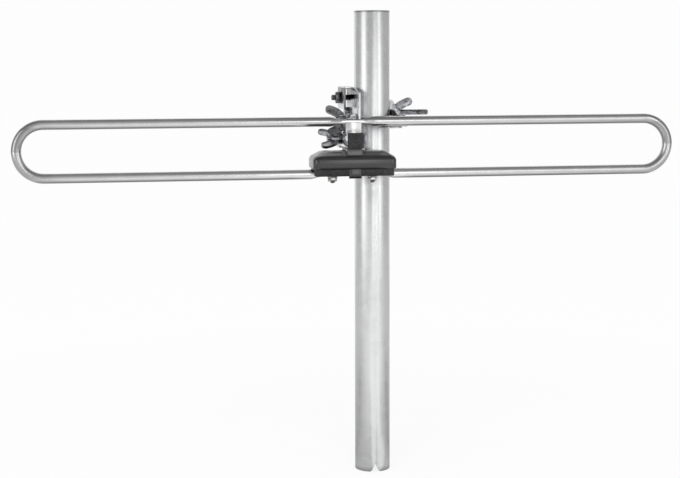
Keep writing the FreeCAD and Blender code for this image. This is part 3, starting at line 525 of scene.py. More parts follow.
def nickel_finish():
    """Nickel plate with faint tarnish and painted shade in its corners and hollows."""
    material, tree, shader = finish("plated_brass", metallic=1.0)
    cloud = grain(tree, 260)
    colour = shaded(tree, cloud, finishes().nickel, 0.84, 1.04)
    coat(tree, shader, recessed(tree, colour, 8 * MM), ranged(tree, cloud, 0.28, 0.14))
    bumped(tree, shader, cloud, 0.05, 0.1 * MM)
    return material


def dull_finish(name, colour, roughness, scale):
    """Dull surface with a fine mottle, for rubber, laminate and ferrite."""
    material, tree, shader = finish(name)
    cells = grain(tree, scale)
    coat(tree, shader, shaded(tree, cells, colour, 0.75, 1.2), roughness)
    bumped(tree, shader, cells, 0.15, 0.15 * MM)
    return material


def named_finish(name):
    """Material by its name, made when it is first asked for."""
    if name in bpy.data.materials and "dressed" in bpy.data.materials[name]:
        return bpy.data.materials[name]
    makers = {
        "galvanised_mast": galvanised_finish,
        "bright_aluminium": aluminium_finish,
        "zinc_steel": lambda: tarnished_finish("zinc_steel", 260, 3.0, 0.0, 0.75, 0.42, 0.62),
        # Hood bolt and nut: zinc darkened heavily all over, more in patches, with painted shade in
        # corners and threads.
        "zinc_worn": lambda: tarnished_finish("zinc_worn", 420, 4.0, 0.55, 0.95),
        "zinc_bracket": bracket_finish,
        "black_plastic": plastic_finish,
        "matt_plastic": matt_finish,
        "plated_brass": nickel_finish,
        "rubber_seal": lambda: dull_finish("rubber_seal", finishes().rubber, 0.7, 900),
        "board_laminate": lambda: dull_finish("board_laminate", finishes().laminate, 0.4, 700),
        "ferrite": lambda: dull_finish("ferrite", finishes().ferrite, 0.6, 1200),
    }
    if name in bpy.data.materials:
        bpy.data.materials[name].name = name + "_solid"
    material = makers[name]()
    material["dressed"] = True
    return material


# Mesh helpers

def middle(node):
    """Middle of a solid's box."""
    low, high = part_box(node)
    return (low + high) / 2


def laid(node, axis, skip=0.0):
    """Point at a distance from a solid's start along an axis, and its length along that axis."""
    low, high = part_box(node)
    length = Vector([abs(part) for part in axis]).dot(high - low)
    return (low + high) / 2 - axis * (length / 2 - skip), length


def stood(base, axis):
    """Matrix that stands a piece drawn along +Z at a base point along an axis."""
    if axis == DOWN:
        spin = Matrix.Rotation(math.pi, 4, "X")
    else:
        spin = UP.rotation_difference(axis).to_matrix().to_4x4()
    return Matrix.Translation(base) @ spin


def plan(width, depth, corner, steps=8):
    """Points of a rounded rectangle round the origin."""
    points = []
    for quarter, (sx, sy) in enumerate(((1, 1), (-1, 1), (-1, -1), (1, -1))):
        for step in range(steps + 1):
            angle = math.pi / 2 * (quarter + step / steps)
            x = sx * (width / 2 - corner) + corner * math.cos(angle)
            y = sy * (depth / 2 - corner) + corner * math.sin(angle)
            points.append((x, y))
    return points


def disc(radius):
    """Points of a circle round the origin."""
    angles = [math.tau * i / ROUND for i in range(ROUND)]
    return [(radius * math.cos(angle), radius * math.sin(angle)) for angle in angles]


def six_sided(flats):
    """Points of a hexagon round the origin, as many as a circle has."""
    points = []
    for i in range(ROUND):
        angle = math.tau * i / ROUND
        reach = flats / 2 / math.cos(angle % (math.pi / 3) - math.pi / 6)
        points.append((reach * math.cos(angle), reach * math.sin(angle)))
    return points


def level(points, height, shift=0.0):
    """Ring of points at one height, shifted along Y."""
    return [Vector((x, y + shift, height)) for x, y in points]


def stack(mesh, rings, closed=False, matrix=None):
    """Skin over rings with as many points each: capped at both ends, or closed on itself."""
    loops = [[mesh.verts.new(matrix @ point if matrix else point) for point in ring]
             for ring in rings]
    pairs = list(zip(loops, loops[1:]))
    if closed:
        pairs.append((loops[-1], loops[0]))
    for lower, upper in pairs:
        count = len(lower)
        for i in range(count):
            j = (i + 1) % count
            mesh.faces.new((lower[i], lower[j], upper[j], upper[i]))
    if not closed:
        mesh.faces.new(list(reversed(loops[0])))
        mesh.faces.new(loops[-1])


def lathe(mesh, profile, matrix, closed=False):
    """Turned body from radius and height pairs."""
    stack(mesh, [level(disc(radius), height) for radius, height in profile], closed, matrix)


def slab(mesh, outline, thickness, matrix):
    """Plate from an outline in a piece's XZ plane, with its thickness along Y on both sides."""
    rings = [[Vector((x, side * thickness / 2, z)) for x, z in outline] for side in (-1, 1)]
    stack(mesh, rings, False, matrix)


def plain(name, mesh):
    """Plain mesh from a working mesh, which is freed."""
    data = bpy.data.meshes.new(name)
    mesh.to_mesh(data)
    mesh.free()
    return data


def merged(mesh, data, matrix):
    """Adds a plain mesh, moved by a matrix, to a working mesh and drops it."""
    data.transform(matrix)
    mesh.from_mesh(data)
    bpy.data.meshes.remove(data)


def piece(name, mesh, slot, nodes, **dressing):
    """Finished object from a working mesh, with its normals turned out."""
    bmesh.ops.recalc_face_normals(mesh, faces=mesh.faces)
    return mounted(name, plain(name, mesh), slot, nodes, **dressing)


def mounted(name, data, slot, nodes, bevel=0.0, angle=32.0, segments=2, look=None):
    """Object with rounded edges and its finish, riding where the solids ride that it replaces."""
    obj = linked(name, data)
    if bevel:
        edge = obj.modifiers.new("rounded edges", "BEVEL")
        edge.width = bevel
        edge.segments = segments
        edge.limit_method = "ANGLE"
        edge.angle_limit = math.radians(angle)
        obj.data = evaluated(obj)
        obj.modifiers.clear()
    obj.data.name = name
    obj.data.materials.clear()
    obj.data.materials.append(named_finish(look or slot))
    obj.data.shade_smooth()
    obj.data.set_sharp_from_angle(angle=math.radians(angle))
    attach(obj, frame["nodes"][nodes[0]]["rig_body"])
    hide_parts(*nodes)
    return obj


def pressed_copy(node, slot, bevel, look=None):
    """Copy of a solid with its facets merged and its edges rounded, which replaces it."""
    mesh = bmesh.new()
    mesh.from_mesh(frame["nodes"][node].data)
    bmesh.ops.remove_doubles(mesh, verts=mesh.verts, dist=WELD)
    bmesh.ops.dissolve_limit(mesh, angle_limit=math.radians(1.0), verts=mesh.verts,
                             edges=mesh.edges)
    return piece(node + "_finished", mesh, slot, [node], bevel=bevel, look=look)


# Threads and sets

def thread_tree():
    """Tree of a threaded rod along +Z: a grid rolled into a screw, closed at both ends."""
    inputs = dict.fromkeys(("Length", "Diameter", "Pitch", "Depth"), "Float")
    tree, given, out = new_tree("thread", inputs | {"Material": "Material"})
    length, pitch = given["Length"], given["Pitch"]
    turns = calc(tree, "DIVIDE", length, pitch)
    rows = calc(tree, "CEIL", times(tree, turns, THREAD_ROWS))
    grid = add(tree, "GeometryNodeMeshGrid",
               {"Size X": 1.0, "Size Y": 1.0, "Vertices X": THREAD_COLUMNS, "Vertices Y": rows})
    flat = parts(tree, add(tree, "GeometryNodeInputPosition").outputs[0])
    turn_share = plus(tree, flat[0], 0.5)
    step = calc(tree, "DIVIDE", length, minus(tree, rows, 3.0))
    span = plus(tree, length, times(tree, step, 2.0))
    height = minus(tree, times(tree, plus(tree, flat[1], 0.5), span), step)
    phase = minus(tree, calc(tree, "DIVIDE", height, pitch), turn_share)
    ridge = calc(tree, "PINGPONG", phase, 0.5)
    outer = times(tree, given["Diameter"], 0.5)
    screw = minus(tree, outer, times(tree, times(tree, ridge, 2.0), given["Depth"]))
    nose = plus(tree, minus(tree, outer, pitch), minus(tree, length, height))
    above = calc(tree, "GREATER_THAN", height, times(tree, step, -0.5))
    below = calc(tree, "LESS_THAN", height, plus(tree, length, times(tree, step, 0.5)))
    radius = times(tree, calc(tree, "MINIMUM", screw, nose), times(tree, above, below))
    angle = times(tree, turn_share, math.tau)
    rolled = add(tree, "ShaderNodeCombineXYZ", {
        0: times(tree, radius, calc(tree, "COSINE", angle)),
        1: times(tree, radius, calc(tree, "SINE", angle)),
        2: calc(tree, "MINIMUM", calc(tree, "MAXIMUM", height, 0.0), length),
    })
    moved = add(tree, "GeometryNodeSetPosition",
                {"Geometry": grid.outputs[0], "Position": rolled.outputs[0]})
    sewn = add(tree, "GeometryNodeMergeByDistance",
               {"Geometry": moved.outputs[0], "Distance": WELD})
    close_tree(tree, sewn.outputs[0], given["Material"], out)
    return tree


def threaded(mesh, length, diameter, pitch, slot, matrix):
    """Adds a threaded rod to a mesh."""
    tree = bpy.data.node_groups.get("thread") or thread_tree()
    values = {"Length": length, "Diameter": diameter, "Pitch": pitch,
              "Depth": pitch * THREAD_DEPTH, "Material": named_finish(slot)}
    merged(mesh, grown(bpy.data.meshes.new("thread seed"), tree, values), matrix)


def spread_tree():
    """Tree that sets a template piece out on points."""
    tree, given, out = new_tree("set out", {"Template": "Object", "Material": "Material"})
    template = add(tree, "GeometryNodeObjectInfo", {"Object": given["Template"]},
                   transform_space="ORIGINAL")
    copies = add(tree, "GeometryNodeInstanceOnPoints",
                 {"Points": given["Geometry"], "Instance": template.outputs["Geometry"]})
    close_tree(tree, copies.outputs[0], given["Material"], out)
    return tree


def spread(name, mesh, points, slot, nodes, bevel=0.0):
    """Like pieces set out on points, as one finished object."""
    bmesh.ops.recalc_face_normals(mesh, faces=mesh.faces)
    template = linked(name + " template", plain(name + " template", mesh))
    seed = bpy.data.meshes.new(name + " points")
    seed.from_pydata(points, [], [])
    tree = bpy.data.node_groups.get("set out") or spread_tree()
    made = grown(seed, tree, {"Template": template, "Material": named_finish(slot)})
    bpy.data.objects.remove(template)
    return mounted(name, made, slot, nodes, bevel)


# Fasteners

def hexagon_head(mesh, flats, height, matrix, hole=0.0):
    """Hexagon with its corners turned off at the top, or at both ends round a hole."""
    flat = six_sided(flats)
    shoulder = flats / 2 * HEAD_FACE
    slope = math.tan(math.radians(30))
    drop = [max(math.hypot(x, y) - shoulder, 0.0) * slope for x, y in flat]
    upper = [Vector((x, y, height - fall)) for (x, y), fall in zip(flat, drop)]
    face = level(disc(shoulder), height)
    if hole:
        lower = [Vector((x, y, fall)) for (x, y), fall in zip(flat, drop)]
        rings = [level(disc(hole), 0), level(disc(shoulder), 0), lower, upper, face,
                 level(disc(hole), height)]
    else:
        dish = [level(disc(shoulder * 0.72), height),
                level(disc(shoulder * 0.66), height - 0.25 * MM)]
        rings = [level(flat, 0), upper, face] + dish
    stack(mesh, rings, bool(hole), matrix)


def hex_bolt(node, axis, look=None):
    """Threaded bolt along an axis, with its head at its start."""
    s = sizes()
    foot, reach = laid(node, axis, s.head_height)
    mesh = bmesh.new()
    hexagon_head(mesh, s.bolt_flats, s.head_height, stood(foot, -axis))
    threaded(mesh, reach - s.head_height, s.bolt_diameter, s.bolt_pitch, "zinc_steel",
             stood(foot, axis))
    return piece(node + "_finished", mesh, "zinc_steel", [node], bevel=BOLT_EDGE, look=look)


def hex_nut(node, axis, look=None):
    """Plain nut along an axis."""
    s = sizes()
    foot, height = laid(node, axis)
    mesh = bmesh.new()
    hexagon_head(mesh, s.bolt_flats, height, stood(foot, axis), s.bolt_diameter / 2 + THREAD_ROOM)
    return piece(node + "_finished", mesh, "zinc_steel", [node], bevel=BOLT_EDGE, look=look)


def ring_washer(mesh, outer, inner, thickness, matrix):
    """Flat washer with eased edges."""
    ease = thickness * 0.22
    profile = [(inner, 0.0), (outer - ease, 0.0), (outer, ease), (outer, thickness - ease),
               (outer - ease, thickness), (inner, thickness)]
    lathe(mesh, profile, matrix, True)


def bowed(start, control, stop):
    """Points of a bowed line, without its last one."""
    shares = [i / 8 for i in range(8)]
    return [start.lerp(control, share).lerp(control.lerp(stop, share), share) for share in shares]


def wing_outline():
    """Outline of one wing from the hub's axis out: a broad ear with a full edge and a round tip."""
    s = sizes()
    centre = Vector((s.wing_span / 2 - s.wing_tip, s.wing_height - s.wing_tip))
    lean = math.radians(62)
    arc = [lean + math.pi * (i / 14 - 0.5) for i in range(15)]
    tip = [centre + Vector((math.cos(a), math.sin(a))) * s.wing_tip for a in arc]
    lower = Vector((s.hub_diameter * 0.36, 0.6 * MM))
    upper = Vector((s.hub_top * 0.25, s.hub_height - 0.3 * MM))
    outer = Vector((centre.x, 3.0 * MM))
    inner = Vector((s.hub_top * 0.6, s.hub_height + 2.0 * MM))
    points = bowed(lower, outer, tip[0]) + tip[:-1] + bowed(tip[-1], inner, upper) + [upper]
    return [(point.x, point.y) for point in points]


def wing_nut(name, foot, axis, angle):
    """Wing nut: a turned hub with two forged wings that are sunk on both faces."""
    s = sizes()
    mesh = bmesh.new()
    place = stood(foot, axis) @ Matrix.Rotation(angle, 4, "Z")
    for half_turn in (0.0, math.pi):
        wing = bmesh.new()
        slab(wing, wing_outline(), s.wing_thickness, Matrix.Rotation(half_turn, 4, "Z"))
        faces = [face for face in wing.faces if len(face.verts) > 8]
        bmesh.ops.recalc_face_normals(wing, faces=wing.faces)
        bmesh.ops.inset_individual(wing, faces=faces, thickness=WING_RIM, depth=-WING_SINK)
        merged(mesh, plain("wing", wing), place)
    hole = s.bolt_diameter / 2 + THREAD_ROOM
    wide = s.hub_diameter / 2
    slim = s.hub_top / 2
    top = s.hub_height
    profile = [(hole, 0.0), (wide - 0.5 * MM, 0.0), (wide, 0.5 * MM),
               (wide - 0.15 * MM, 1.6 * MM), (slim + 0.35 * MM, top - 1.6 * MM),
               (slim, top - 0.7 * MM), (slim - 0.7 * MM, top),
               (hole + 0.5 * MM, top), (hole, top - 0.5 * MM)]
    lathe(mesh, profile, place, True)
    return piece(name + "_finished", mesh, "zinc_steel", [name], bevel=0.42 * MM, angle=30.0,
                 segments=3)


# Operators

class AntennaOperator:
    """Shared settings of the antenna's operators."""

    bl_options = {"REGISTER", "UNDO"}


class ANTENNA_OT_mast(AntennaOperator, bpy.types.Operator):
    """Open mast tube with a pointed notch, eased at its corners, through its lower edge"""

    bl_idname = "antenna.mast"
    bl_label = "Mast"

    def execute(self, context):
        s = sizes()
        low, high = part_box("mast_tube")
        outer = (high.x - low.x) / 2
        bearings = [math.tau * i / 120 for i in range(120)]
        notch = math.asin((s.notch_width / 2 + s.notch_ease) / outer)
        for centre in (math.pi / 2, math.pi * 1.5):
            bearings = [a for a in bearings if abs(a - centre) > notch + 0.02]
            bearings += [centre + notch * i / 12 for i in range(-12, 13)]
        mesh = bmesh.new()
        columns = []
        for bearing in sorted(bearings):
            column = []
            for radius in (outer, outer - s.mast_wall):
                x = radius * math.cos(bearing)
                y = radius * math.sin(bearing)
                for z in (low.z + self.rise(x), high.z):
                    column.append(mesh.verts.new((x, y, z)))
            columns.append(column)
        for here, there in zip(columns, columns[1:] + columns[:1]):
            for i, j in ((0, 1), (1, 3), (3, 2), (2, 0)):
                mesh.faces.new((here[i], there[i], there[j], here[j]))
        piece("mast_finished", mesh, "galvanised_mast", ["mast_tube"], bevel=0.35 * MM, angle=40.0)
        return {"FINISHED"}

    def rise(self, x):
        """Height of the mast's lower edge at a distance from the notch's middle."""
        s = sizes()
        slope = s.notch_height / (s.notch_width / 2)
        gap = max(s.notch_width / 2 + s.notch_ease - abs(x), 0.0)
        if gap > 2 * s.notch_ease:
            return slope * (gap - s.notch_ease)
        return slope * gap * gap / (4 * s.notch_ease)


class ANTENNA_OT_dipole(AntennaOperator, bpy.types.Operator):
    """Folded dipole: one bent tube, pressed flat at the upper rail's middle and at its two ends"""

    bl_idname = "antenna.dipole"
    bl_label = "Dipole"

    def tree(self):
        """Tree that rounds a path's corners, sweeps the tube along it and presses its flats."""
        lengths = ("Bend Radius", "Rod Diameter", "Flat Thickness", "Flat Width",
                   "Rail Flat Reach", "End Flat Reach", "Run-out", "Rail Offset")
        inputs = dict.fromkeys(lengths, "Float") | {"Centre": "Vector", "Material": "Material"}
        tree, given, out = new_tree("folded dipole", inputs)
        bent = add(tree, "GeometryNodeFilletCurve",
                   {"Curve": given["Geometry"], "Count": 48, "Radius": given["Bend Radius"]},
                   mode="POLY")
        even = add(tree, "GeometryNodeResampleCurve",
                   {"Curve": bent.outputs[0], "Length": 1.6 * MM}, mode="LENGTH")
        section = add(tree, "GeometryNodeCurvePrimitiveCircle",
                      {"Resolution": 44, "Radius": times(tree, given["Rod Diameter"], 0.5)},
                      mode="RADIUS")
        tube = add(tree, "GeometryNodeCurveToMesh",
                   {"Curve": even.outputs[0], "Profile Curve": section.outputs[0],
                    "Fill Caps": True})
        place = add(tree, "GeometryNodeInputPosition").outputs[0]
        local = add(tree, "ShaderNodeVectorMath", {0: place, 1: given["Centre"]},
                    operation="SUBTRACT")
        x, y, z = parts(tree, local.outputs[0])
        upper = calc(tree, "GREATER_THAN", z, 0.0)
        side = calc(tree, "MULTIPLY_ADD", upper, 2.0, -1.0)
        rail = times(tree, side, given["Rail Offset"])
        rise = minus(tree, z, rail)
        change = minus(tree, given["Rail Flat Reach"], given["End Flat Reach"])
        reach = calc(tree, "MULTIPLY_ADD", upper, change, given["End Flat Reach"])
        full = add(tree, "ShaderNodeMapRange", {
            "Value": calc(tree, "ABSOLUTE", x), "From Min": reach,
            "From Max": plus(tree, reach, given["Run-out"]), "To Min": 0.0, "To Max": 1.0,
        }, interpolation_type="SMOOTHSTEP").outputs["Result"]
        half = times(tree, given["Flat Thickness"], 0.5)
        pressed = calc(tree, "MAXIMUM", calc(tree, "MINIMUM", rise, half), times(tree, half, -1.0))
        squeezed = calc(tree, "MULTIPLY_ADD", minus(tree, rise, pressed), full, pressed)
        widest = calc(tree, "DIVIDE", given["Flat Width"], given["Rod Diameter"])
        broad = calc(tree, "MULTIPLY_ADD", minus(tree, 1.0, widest), full, widest)
        shaped = add(tree, "ShaderNodeCombineXYZ",
                     {0: x, 1: times(tree, y, broad), 2: plus(tree, rail, squeezed)})
        back = add(tree, "ShaderNodeVectorMath", {0: shaped.outputs[0], 1: given["Centre"]},
                   operation="ADD")
        moved = add(tree, "GeometryNodeSetPosition",
                    {"Geometry": tube.outputs[0], "Position": back.outputs[0]})
        close_tree(tree, moved.outputs[0], given["Material"], out)
        return tree

    def execute(self, context):
        s = sizes()
        low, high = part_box("dipole_loop")
        centre = (low + high) / 2
        radius = s.rod_diameter / 2
        offset = (high.z - low.z) / 2 - radius
        half = (high.x - low.x) / 2 - radius
        ends = s.feed_gap / 2
        path = [(-ends, -offset), (-half, -offset), (-half, offset),
                (half, offset), (half, -offset), (ends, -offset)]
        curve = bpy.data.curves.new("dipole path", "CURVE")
        curve.dimensions = "3D"
        spline = curve.splines.new("POLY")
        spline.points.add(len(path) - 1)
        for point, (x, z) in zip(spline.points, path):
            point.co = (centre.x + x, centre.y, centre.z + z, 1.0)
        values = {"Bend Radius": offset, "Rod Diameter": s.rod_diameter,
                  "Flat Thickness": s.flat_thickness, "Flat Width": s.flat_width,
                  "Rail Flat Reach": s.rail_flat / 2, "End Flat Reach": ends + s.end_flat,
                  "Run-out": s.flat_runout, "Rail Offset": offset, "Centre": centre,
                  "Material": named_finish("bright_aluminium")}
        data = grown(curve, self.tree(), values)
        mounted("dipole_finished", data, "bright_aluminium", ["dipole_loop"], angle=60.0)
        return {"FINISHED"}


class ANTENNA_OT_boom(AntennaOperator, bpy.types.Operator):
    """Square boom with a plug in each end and the saddle for the upper rail"""

    bl_idname = "antenna.boom"
    bl_label = "Boom"

    def execute(self, context):
        s = sizes()
        low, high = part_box("boom_tube")
        centre = (low + high) / 2
        side = high.x - low.x
        length = high.y - low.y
        inside = side - 2 * s.boom_wall
        outline = plan(side, side, s.boom_corner)
        hollow = plan(inside, inside, s.boom_corner * 0.4)
        rings = [level(outline, 0), level(outline, length), level(hollow, length),
                 level(hollow, 0)]
        mesh = bmesh.new()
        stack(mesh, rings, True, stood(Vector((centre.x, low.y, centre.z)), BACK))
        piece("boom_finished", mesh, "bright_aluminium", ["boom_tube"], bevel=0.15 * MM)
        for node, end, outward in (("boom_front_plug", low.y, FRONT),
                                   ("boom_rear_plug", high.y, BACK)):
            self.plug(node, Vector((centre.x, end, centre.z)), outward, side)
        pressed_copy("rail_saddle", "bright_aluminium", 0.3 * MM)
        return {"FINISHED"}

    def plug(self, node, base, outward, side):
        """Moulded plug: a flange with a dished face, an injection point and a stem in the boom."""
        s = sizes()
        stem = side - 2 * s.boom_wall - 0.3 * MM
        flange = s.plug_flange
        outer = s.boom_corner
        inner = 1.0 * MM
        squares = [
            (stem - 1.2 * MM, inner, -8.0 * MM),
            (stem, inner, -7.0 * MM),
            (stem, inner, 0.0),
            (side, outer, 0.0),
            (side, outer, flange - 0.6 * MM),
            (side - 0.35 * MM, outer, flange - 0.2 * MM),
            (side - 1.2 * MM, outer, flange),
            (side - 3.0 * MM, outer, flange),
            (side - 3.8 * MM, outer, flange - 0.3 * MM),
            (4.6 * MM, 2.29 * MM, flange - 0.7 * MM),
            (3.9 * MM, 1.94 * MM, flange - 0.25 * MM),
            (2.9 * MM, 1.44 * MM, flange - 0.05 * MM),
            (1.2 * MM, 0.59 * MM, flange),
        ]
        rings = [level(plan(width, width, corner), height) for width, corner, height in squares]
        mesh = bmesh.new()
        stack(mesh, rings, False, stood(base, outward))
        piece(node + "_finished", mesh, "black_plastic", [node], look="matt_plastic")


class ANTENNA_OT_box(AntennaOperator, bpy.types.Operator):
    """Terminal box: domed lid with the boom's cradle, snap hooks and socket boss, over its base"""

    bl_idname = "antenna.box"
    bl_label = "Terminal Box"

    def execute(self, context):
        s = sizes()
        low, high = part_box("box_lid")
        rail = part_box("dipole_loop")[0].z + s.rod_diameter / 2
        centre = Vector(((low.x + high.x) / 2, middle("dipole_loop").y, 0.0))
        parting = rail + s.parting_rise
        crown = high.z - s.cradle_rise
        mesh = bmesh.new()
        self.shell(mesh, centre, high.x - low.x, parting, crown)
        self.cradle(mesh, centre, crown, high.z)
        for facing in (-1, 1):
            self.latch(mesh, centre, facing, parting, low.z)
        self.boss(mesh, centre)
        piece("box_lid_finished", mesh, "black_plastic", ["box_lid"], bevel=0.12 * MM)
        pressed_copy("box_base", "black_plastic", 0.7 * MM, "matt_plastic")
        return {"FINISHED"}

    def shoulder(self, angle):
        """Inset and height of the lid's round shoulder at an angle."""
        radius = sizes().shoulder_radius
        return radius * (1 - math.cos(angle)), radius * math.sin(angle)

    def shell(self, mesh, centre, width, parting, crown):
        """Skirt, round shoulder and hipped roof."""
        s = sizes()
        inset, rise = self.shoulder(s.shoulder_sweep)
        foot = crown - s.roof_rise
        wall = s.lid_wall
        levels = [(wall, wall, wall, parting + 3 * MM), (wall, wall, wall, parting)]
        for edge, lift in ((1.1, 0.0), (0.62, 0.14), (0.22, 0.5), (0.0, 1.1)):
            levels.append((edge * MM, edge * MM, edge * MM, parting + lift * MM))
        for step in range(13):
            reach, lift = self.shoulder(s.shoulder_sweep * step / 12)
            levels.append((reach, reach, reach, foot - rise + lift))
        for step in range(1, 11):
            share = step / 10
            ends = [inset + (end - inset) * share
                    for end in (s.crown_side, s.crown_front, s.crown_back)]
            levels.append((*ends, foot + s.roof_rise * math.sin(math.pi / 2 * share)))
        rings = []
        for side, front, back, height in levels:
            corner = s.lid_corner - wall if side == wall else s.lid_corner
            outline = plan(width - 2 * side, s.lid_depth - front - back, corner, 10)
            rings.append(level(outline, height, (front - back) / 2))
        stack(mesh, rings, False, Matrix.Translation(centre))

    def cradle(self, mesh, centre, crown, top):
        """Block under the boom, raked back at its front."""
        s = sizes()
        low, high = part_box("boom_tube")
        foot = crown - s.roof_rise - 0.8 * MM
        front = self.shoulder(s.shoulder_sweep)[0] - s.lid_depth / 2
        rear = front + s.cradle_length
        rings = []
        for edge, rake, height in ((0.0, 0.0, foot), (0.0, 0.2, foot + 2.5 * MM),
                                   (0.1, 0.5, top - 0.5 * MM), (0.5, 0.9, top)):
            start = front + rake * MM
            outline = plan(high.x - low.x - 2 * (edge * MM), rear - start, 1.0 * MM, 10)
            rings.append(level(outline, height, (start + rear) / 2))
        stack(mesh, rings, False, Matrix.Translation(centre))

    def latch(self, mesh, centre, facing, parting, foot):
        """Snap hook: a tongue from the skirt that thickens to a rounded grip under the base."""
        s = sizes()
        face = s.lid_depth / 2
        inside = face - s.lid_wall
        profile = [(inside, parting + 1.5 * MM), (inside, foot + 2.6 * MM),
                   (inside - 1.6 * MM, foot + 2.0 * MM), (inside - 1.6 * MM, foot + 0.9 * MM),
                   (inside - 0.9 * MM, foot + 0.25 * MM), (inside + 0.1 * MM, foot),
                   (face - 1.5 * MM, foot + 0.1 * MM), (face - 0.8 * MM, foot + 0.7 * MM),
                   (face - 0.5 * MM, foot + 1.6 * MM), (face - 0.7 * MM, parting - 2.4 * MM),
                   (face - 1.0 * MM, parting), (face - 1.2 * MM, parting + 1.5 * MM)]
        ease = [(0.55, 0.0), (0.7, 0.05), (0.85, 0.3), (0.95, 0.75), (1.0, 1.2)]
        rings = []
        for share, sink in [(-share, sink) for share, sink in reversed(ease)] + ease:
            x = centre.x + share * (s.latch_width / 2)
            sunk = [(max(y - sink * MM, min(y, inside)), z) for y, z in profile]
            rings.append([Vector((x, centre.y + facing * y, z)) for y, z in sunk])
        stack(mesh, rings)

    def boss(self, mesh, centre):
        """Round boss on the back wall, round the coaxial socket."""
        s = sizes()
        socket = middle("coax_socket")
        start = Vector((socket.x, centre.y + s.lid_depth / 2 - 8.5 * MM, socket.z))
        radius = s.boss_diameter / 2
        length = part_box("coax_nut")[0].y - start.y
        hole = s.socket_diameter / 2 + 0.4 * MM
        profile = [(hole, 0.0), (radius - 0.8 * MM, 0.0), (radius, 0.8 * MM),
                   (radius, length - 0.4 * MM), (radius - 0.4 * MM, length), (hole, length)]
        lathe(mesh, profile, stood(start, BACK), True)


class ANTENNA_OT_clamp(AntennaOperator, bpy.types.Operator):
    """Pressed bracket and toothed jaw that hold the boom to the mast"""

    bl_idname = "antenna.clamp"
    bl_label = "Clamp"

    def execute(self, context):
        pressed_copy("mast_bracket", "zinc_steel", 0.28 * MM, "zinc_bracket")
        pressed_copy("mast_jaw", "zinc_steel", 0.22 * MM)
        return {"FINISHED"}


class ANTENNA_OT_bolts(AntennaOperator, bpy.types.Operator):
    """Threaded bolts of the clamp, the boom, the hood and the rail, with the two plain nuts"""

    bl_idname = "antenna.bolts"
    bl_label = "Bolts"

    def execute(self, context):
        hex_bolt("front_clamp_bolt", LEFT)
        hex_bolt("rear_clamp_bolt", RIGHT)
        hex_bolt("boom_bolt", LEFT)
        hex_bolt("hood_bolt", LEFT, "zinc_worn")
        hex_bolt("centre_bolt", DOWN)
        hex_nut("hood_nut", LEFT, "zinc_worn")
        hex_nut("centre_nut", DOWN)
        return {"FINISHED"}


class ANTENNA_OT_washers(AntennaOperator, bpy.types.Operator):
    """Washers and the spacing sleeve on the bolts"""

    bl_idname = "antenna.washers"
    bl_label = "Washers"

    def execute(self, context):
        hole = sizes().bolt_diameter / 2 + WASHER_ROOM
        for node, axis in (("boom_washer", LEFT), ("centre_washer", UP), ("clamp_sleeve", LEFT)):
            low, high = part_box(node)
            foot, run = laid(node, axis)
            mesh = bmesh.new()
            ring_washer(mesh, (high.y - low.y) / 2, hole, run, stood(foot, axis))
            piece(node + "_finished", mesh, "zinc_steel", [node], bevel=WASHER_EDGE)
        self.clamp_washers(hole)
        return {"FINISHED"}

    def clamp_washers(self, hole):
        """Pair of washers like the boom's on the two clamp bolts."""
        low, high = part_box("clamp_washers")
        like_low, like_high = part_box("boom_washer")
        thickness = like_high.x - like_low.x
        front = middle("front_clamp_bolt")
        rear = middle("rear_clamp_bolt")
        points = [(low.x, front.y, front.z), (high.x - thickness, rear.y, rear.z)]
        mesh = bmesh.new()
        ring_washer(mesh, (like_high.y - like_low.y) / 2, hole, thickness,
                    stood(Vector(), RIGHT))
        spread("clamp_washers_finished", mesh, points, "zinc_steel", ["clamp_washers"],
               WASHER_EDGE)


class ANTENNA_OT_wing_nuts(AntennaOperator, bpy.types.Operator):
    """Forged wing nuts of the clamp and the boom"""

    bl_idname = "antenna.wing_nuts"
    bl_label = "Wing Nuts"

    def execute(self, context):
        s = sizes()
        for node, bolt, axis, angle in (
                ("front_wing_nut", "front_clamp_bolt", LEFT, s.front_wing_turn),
                ("rear_wing_nut", "rear_clamp_bolt", RIGHT, s.rear_wing_turn),
                ("boom_wing_nut", "boom_bolt", LEFT, s.boom_wing_turn)):
            low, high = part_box(node)
            line = middle(bolt)
            foot = Vector((high.x if axis == LEFT else low.x, line.y, line.z))
            wing_nut(node, foot, axis, angle)
        return {"FINISHED"}


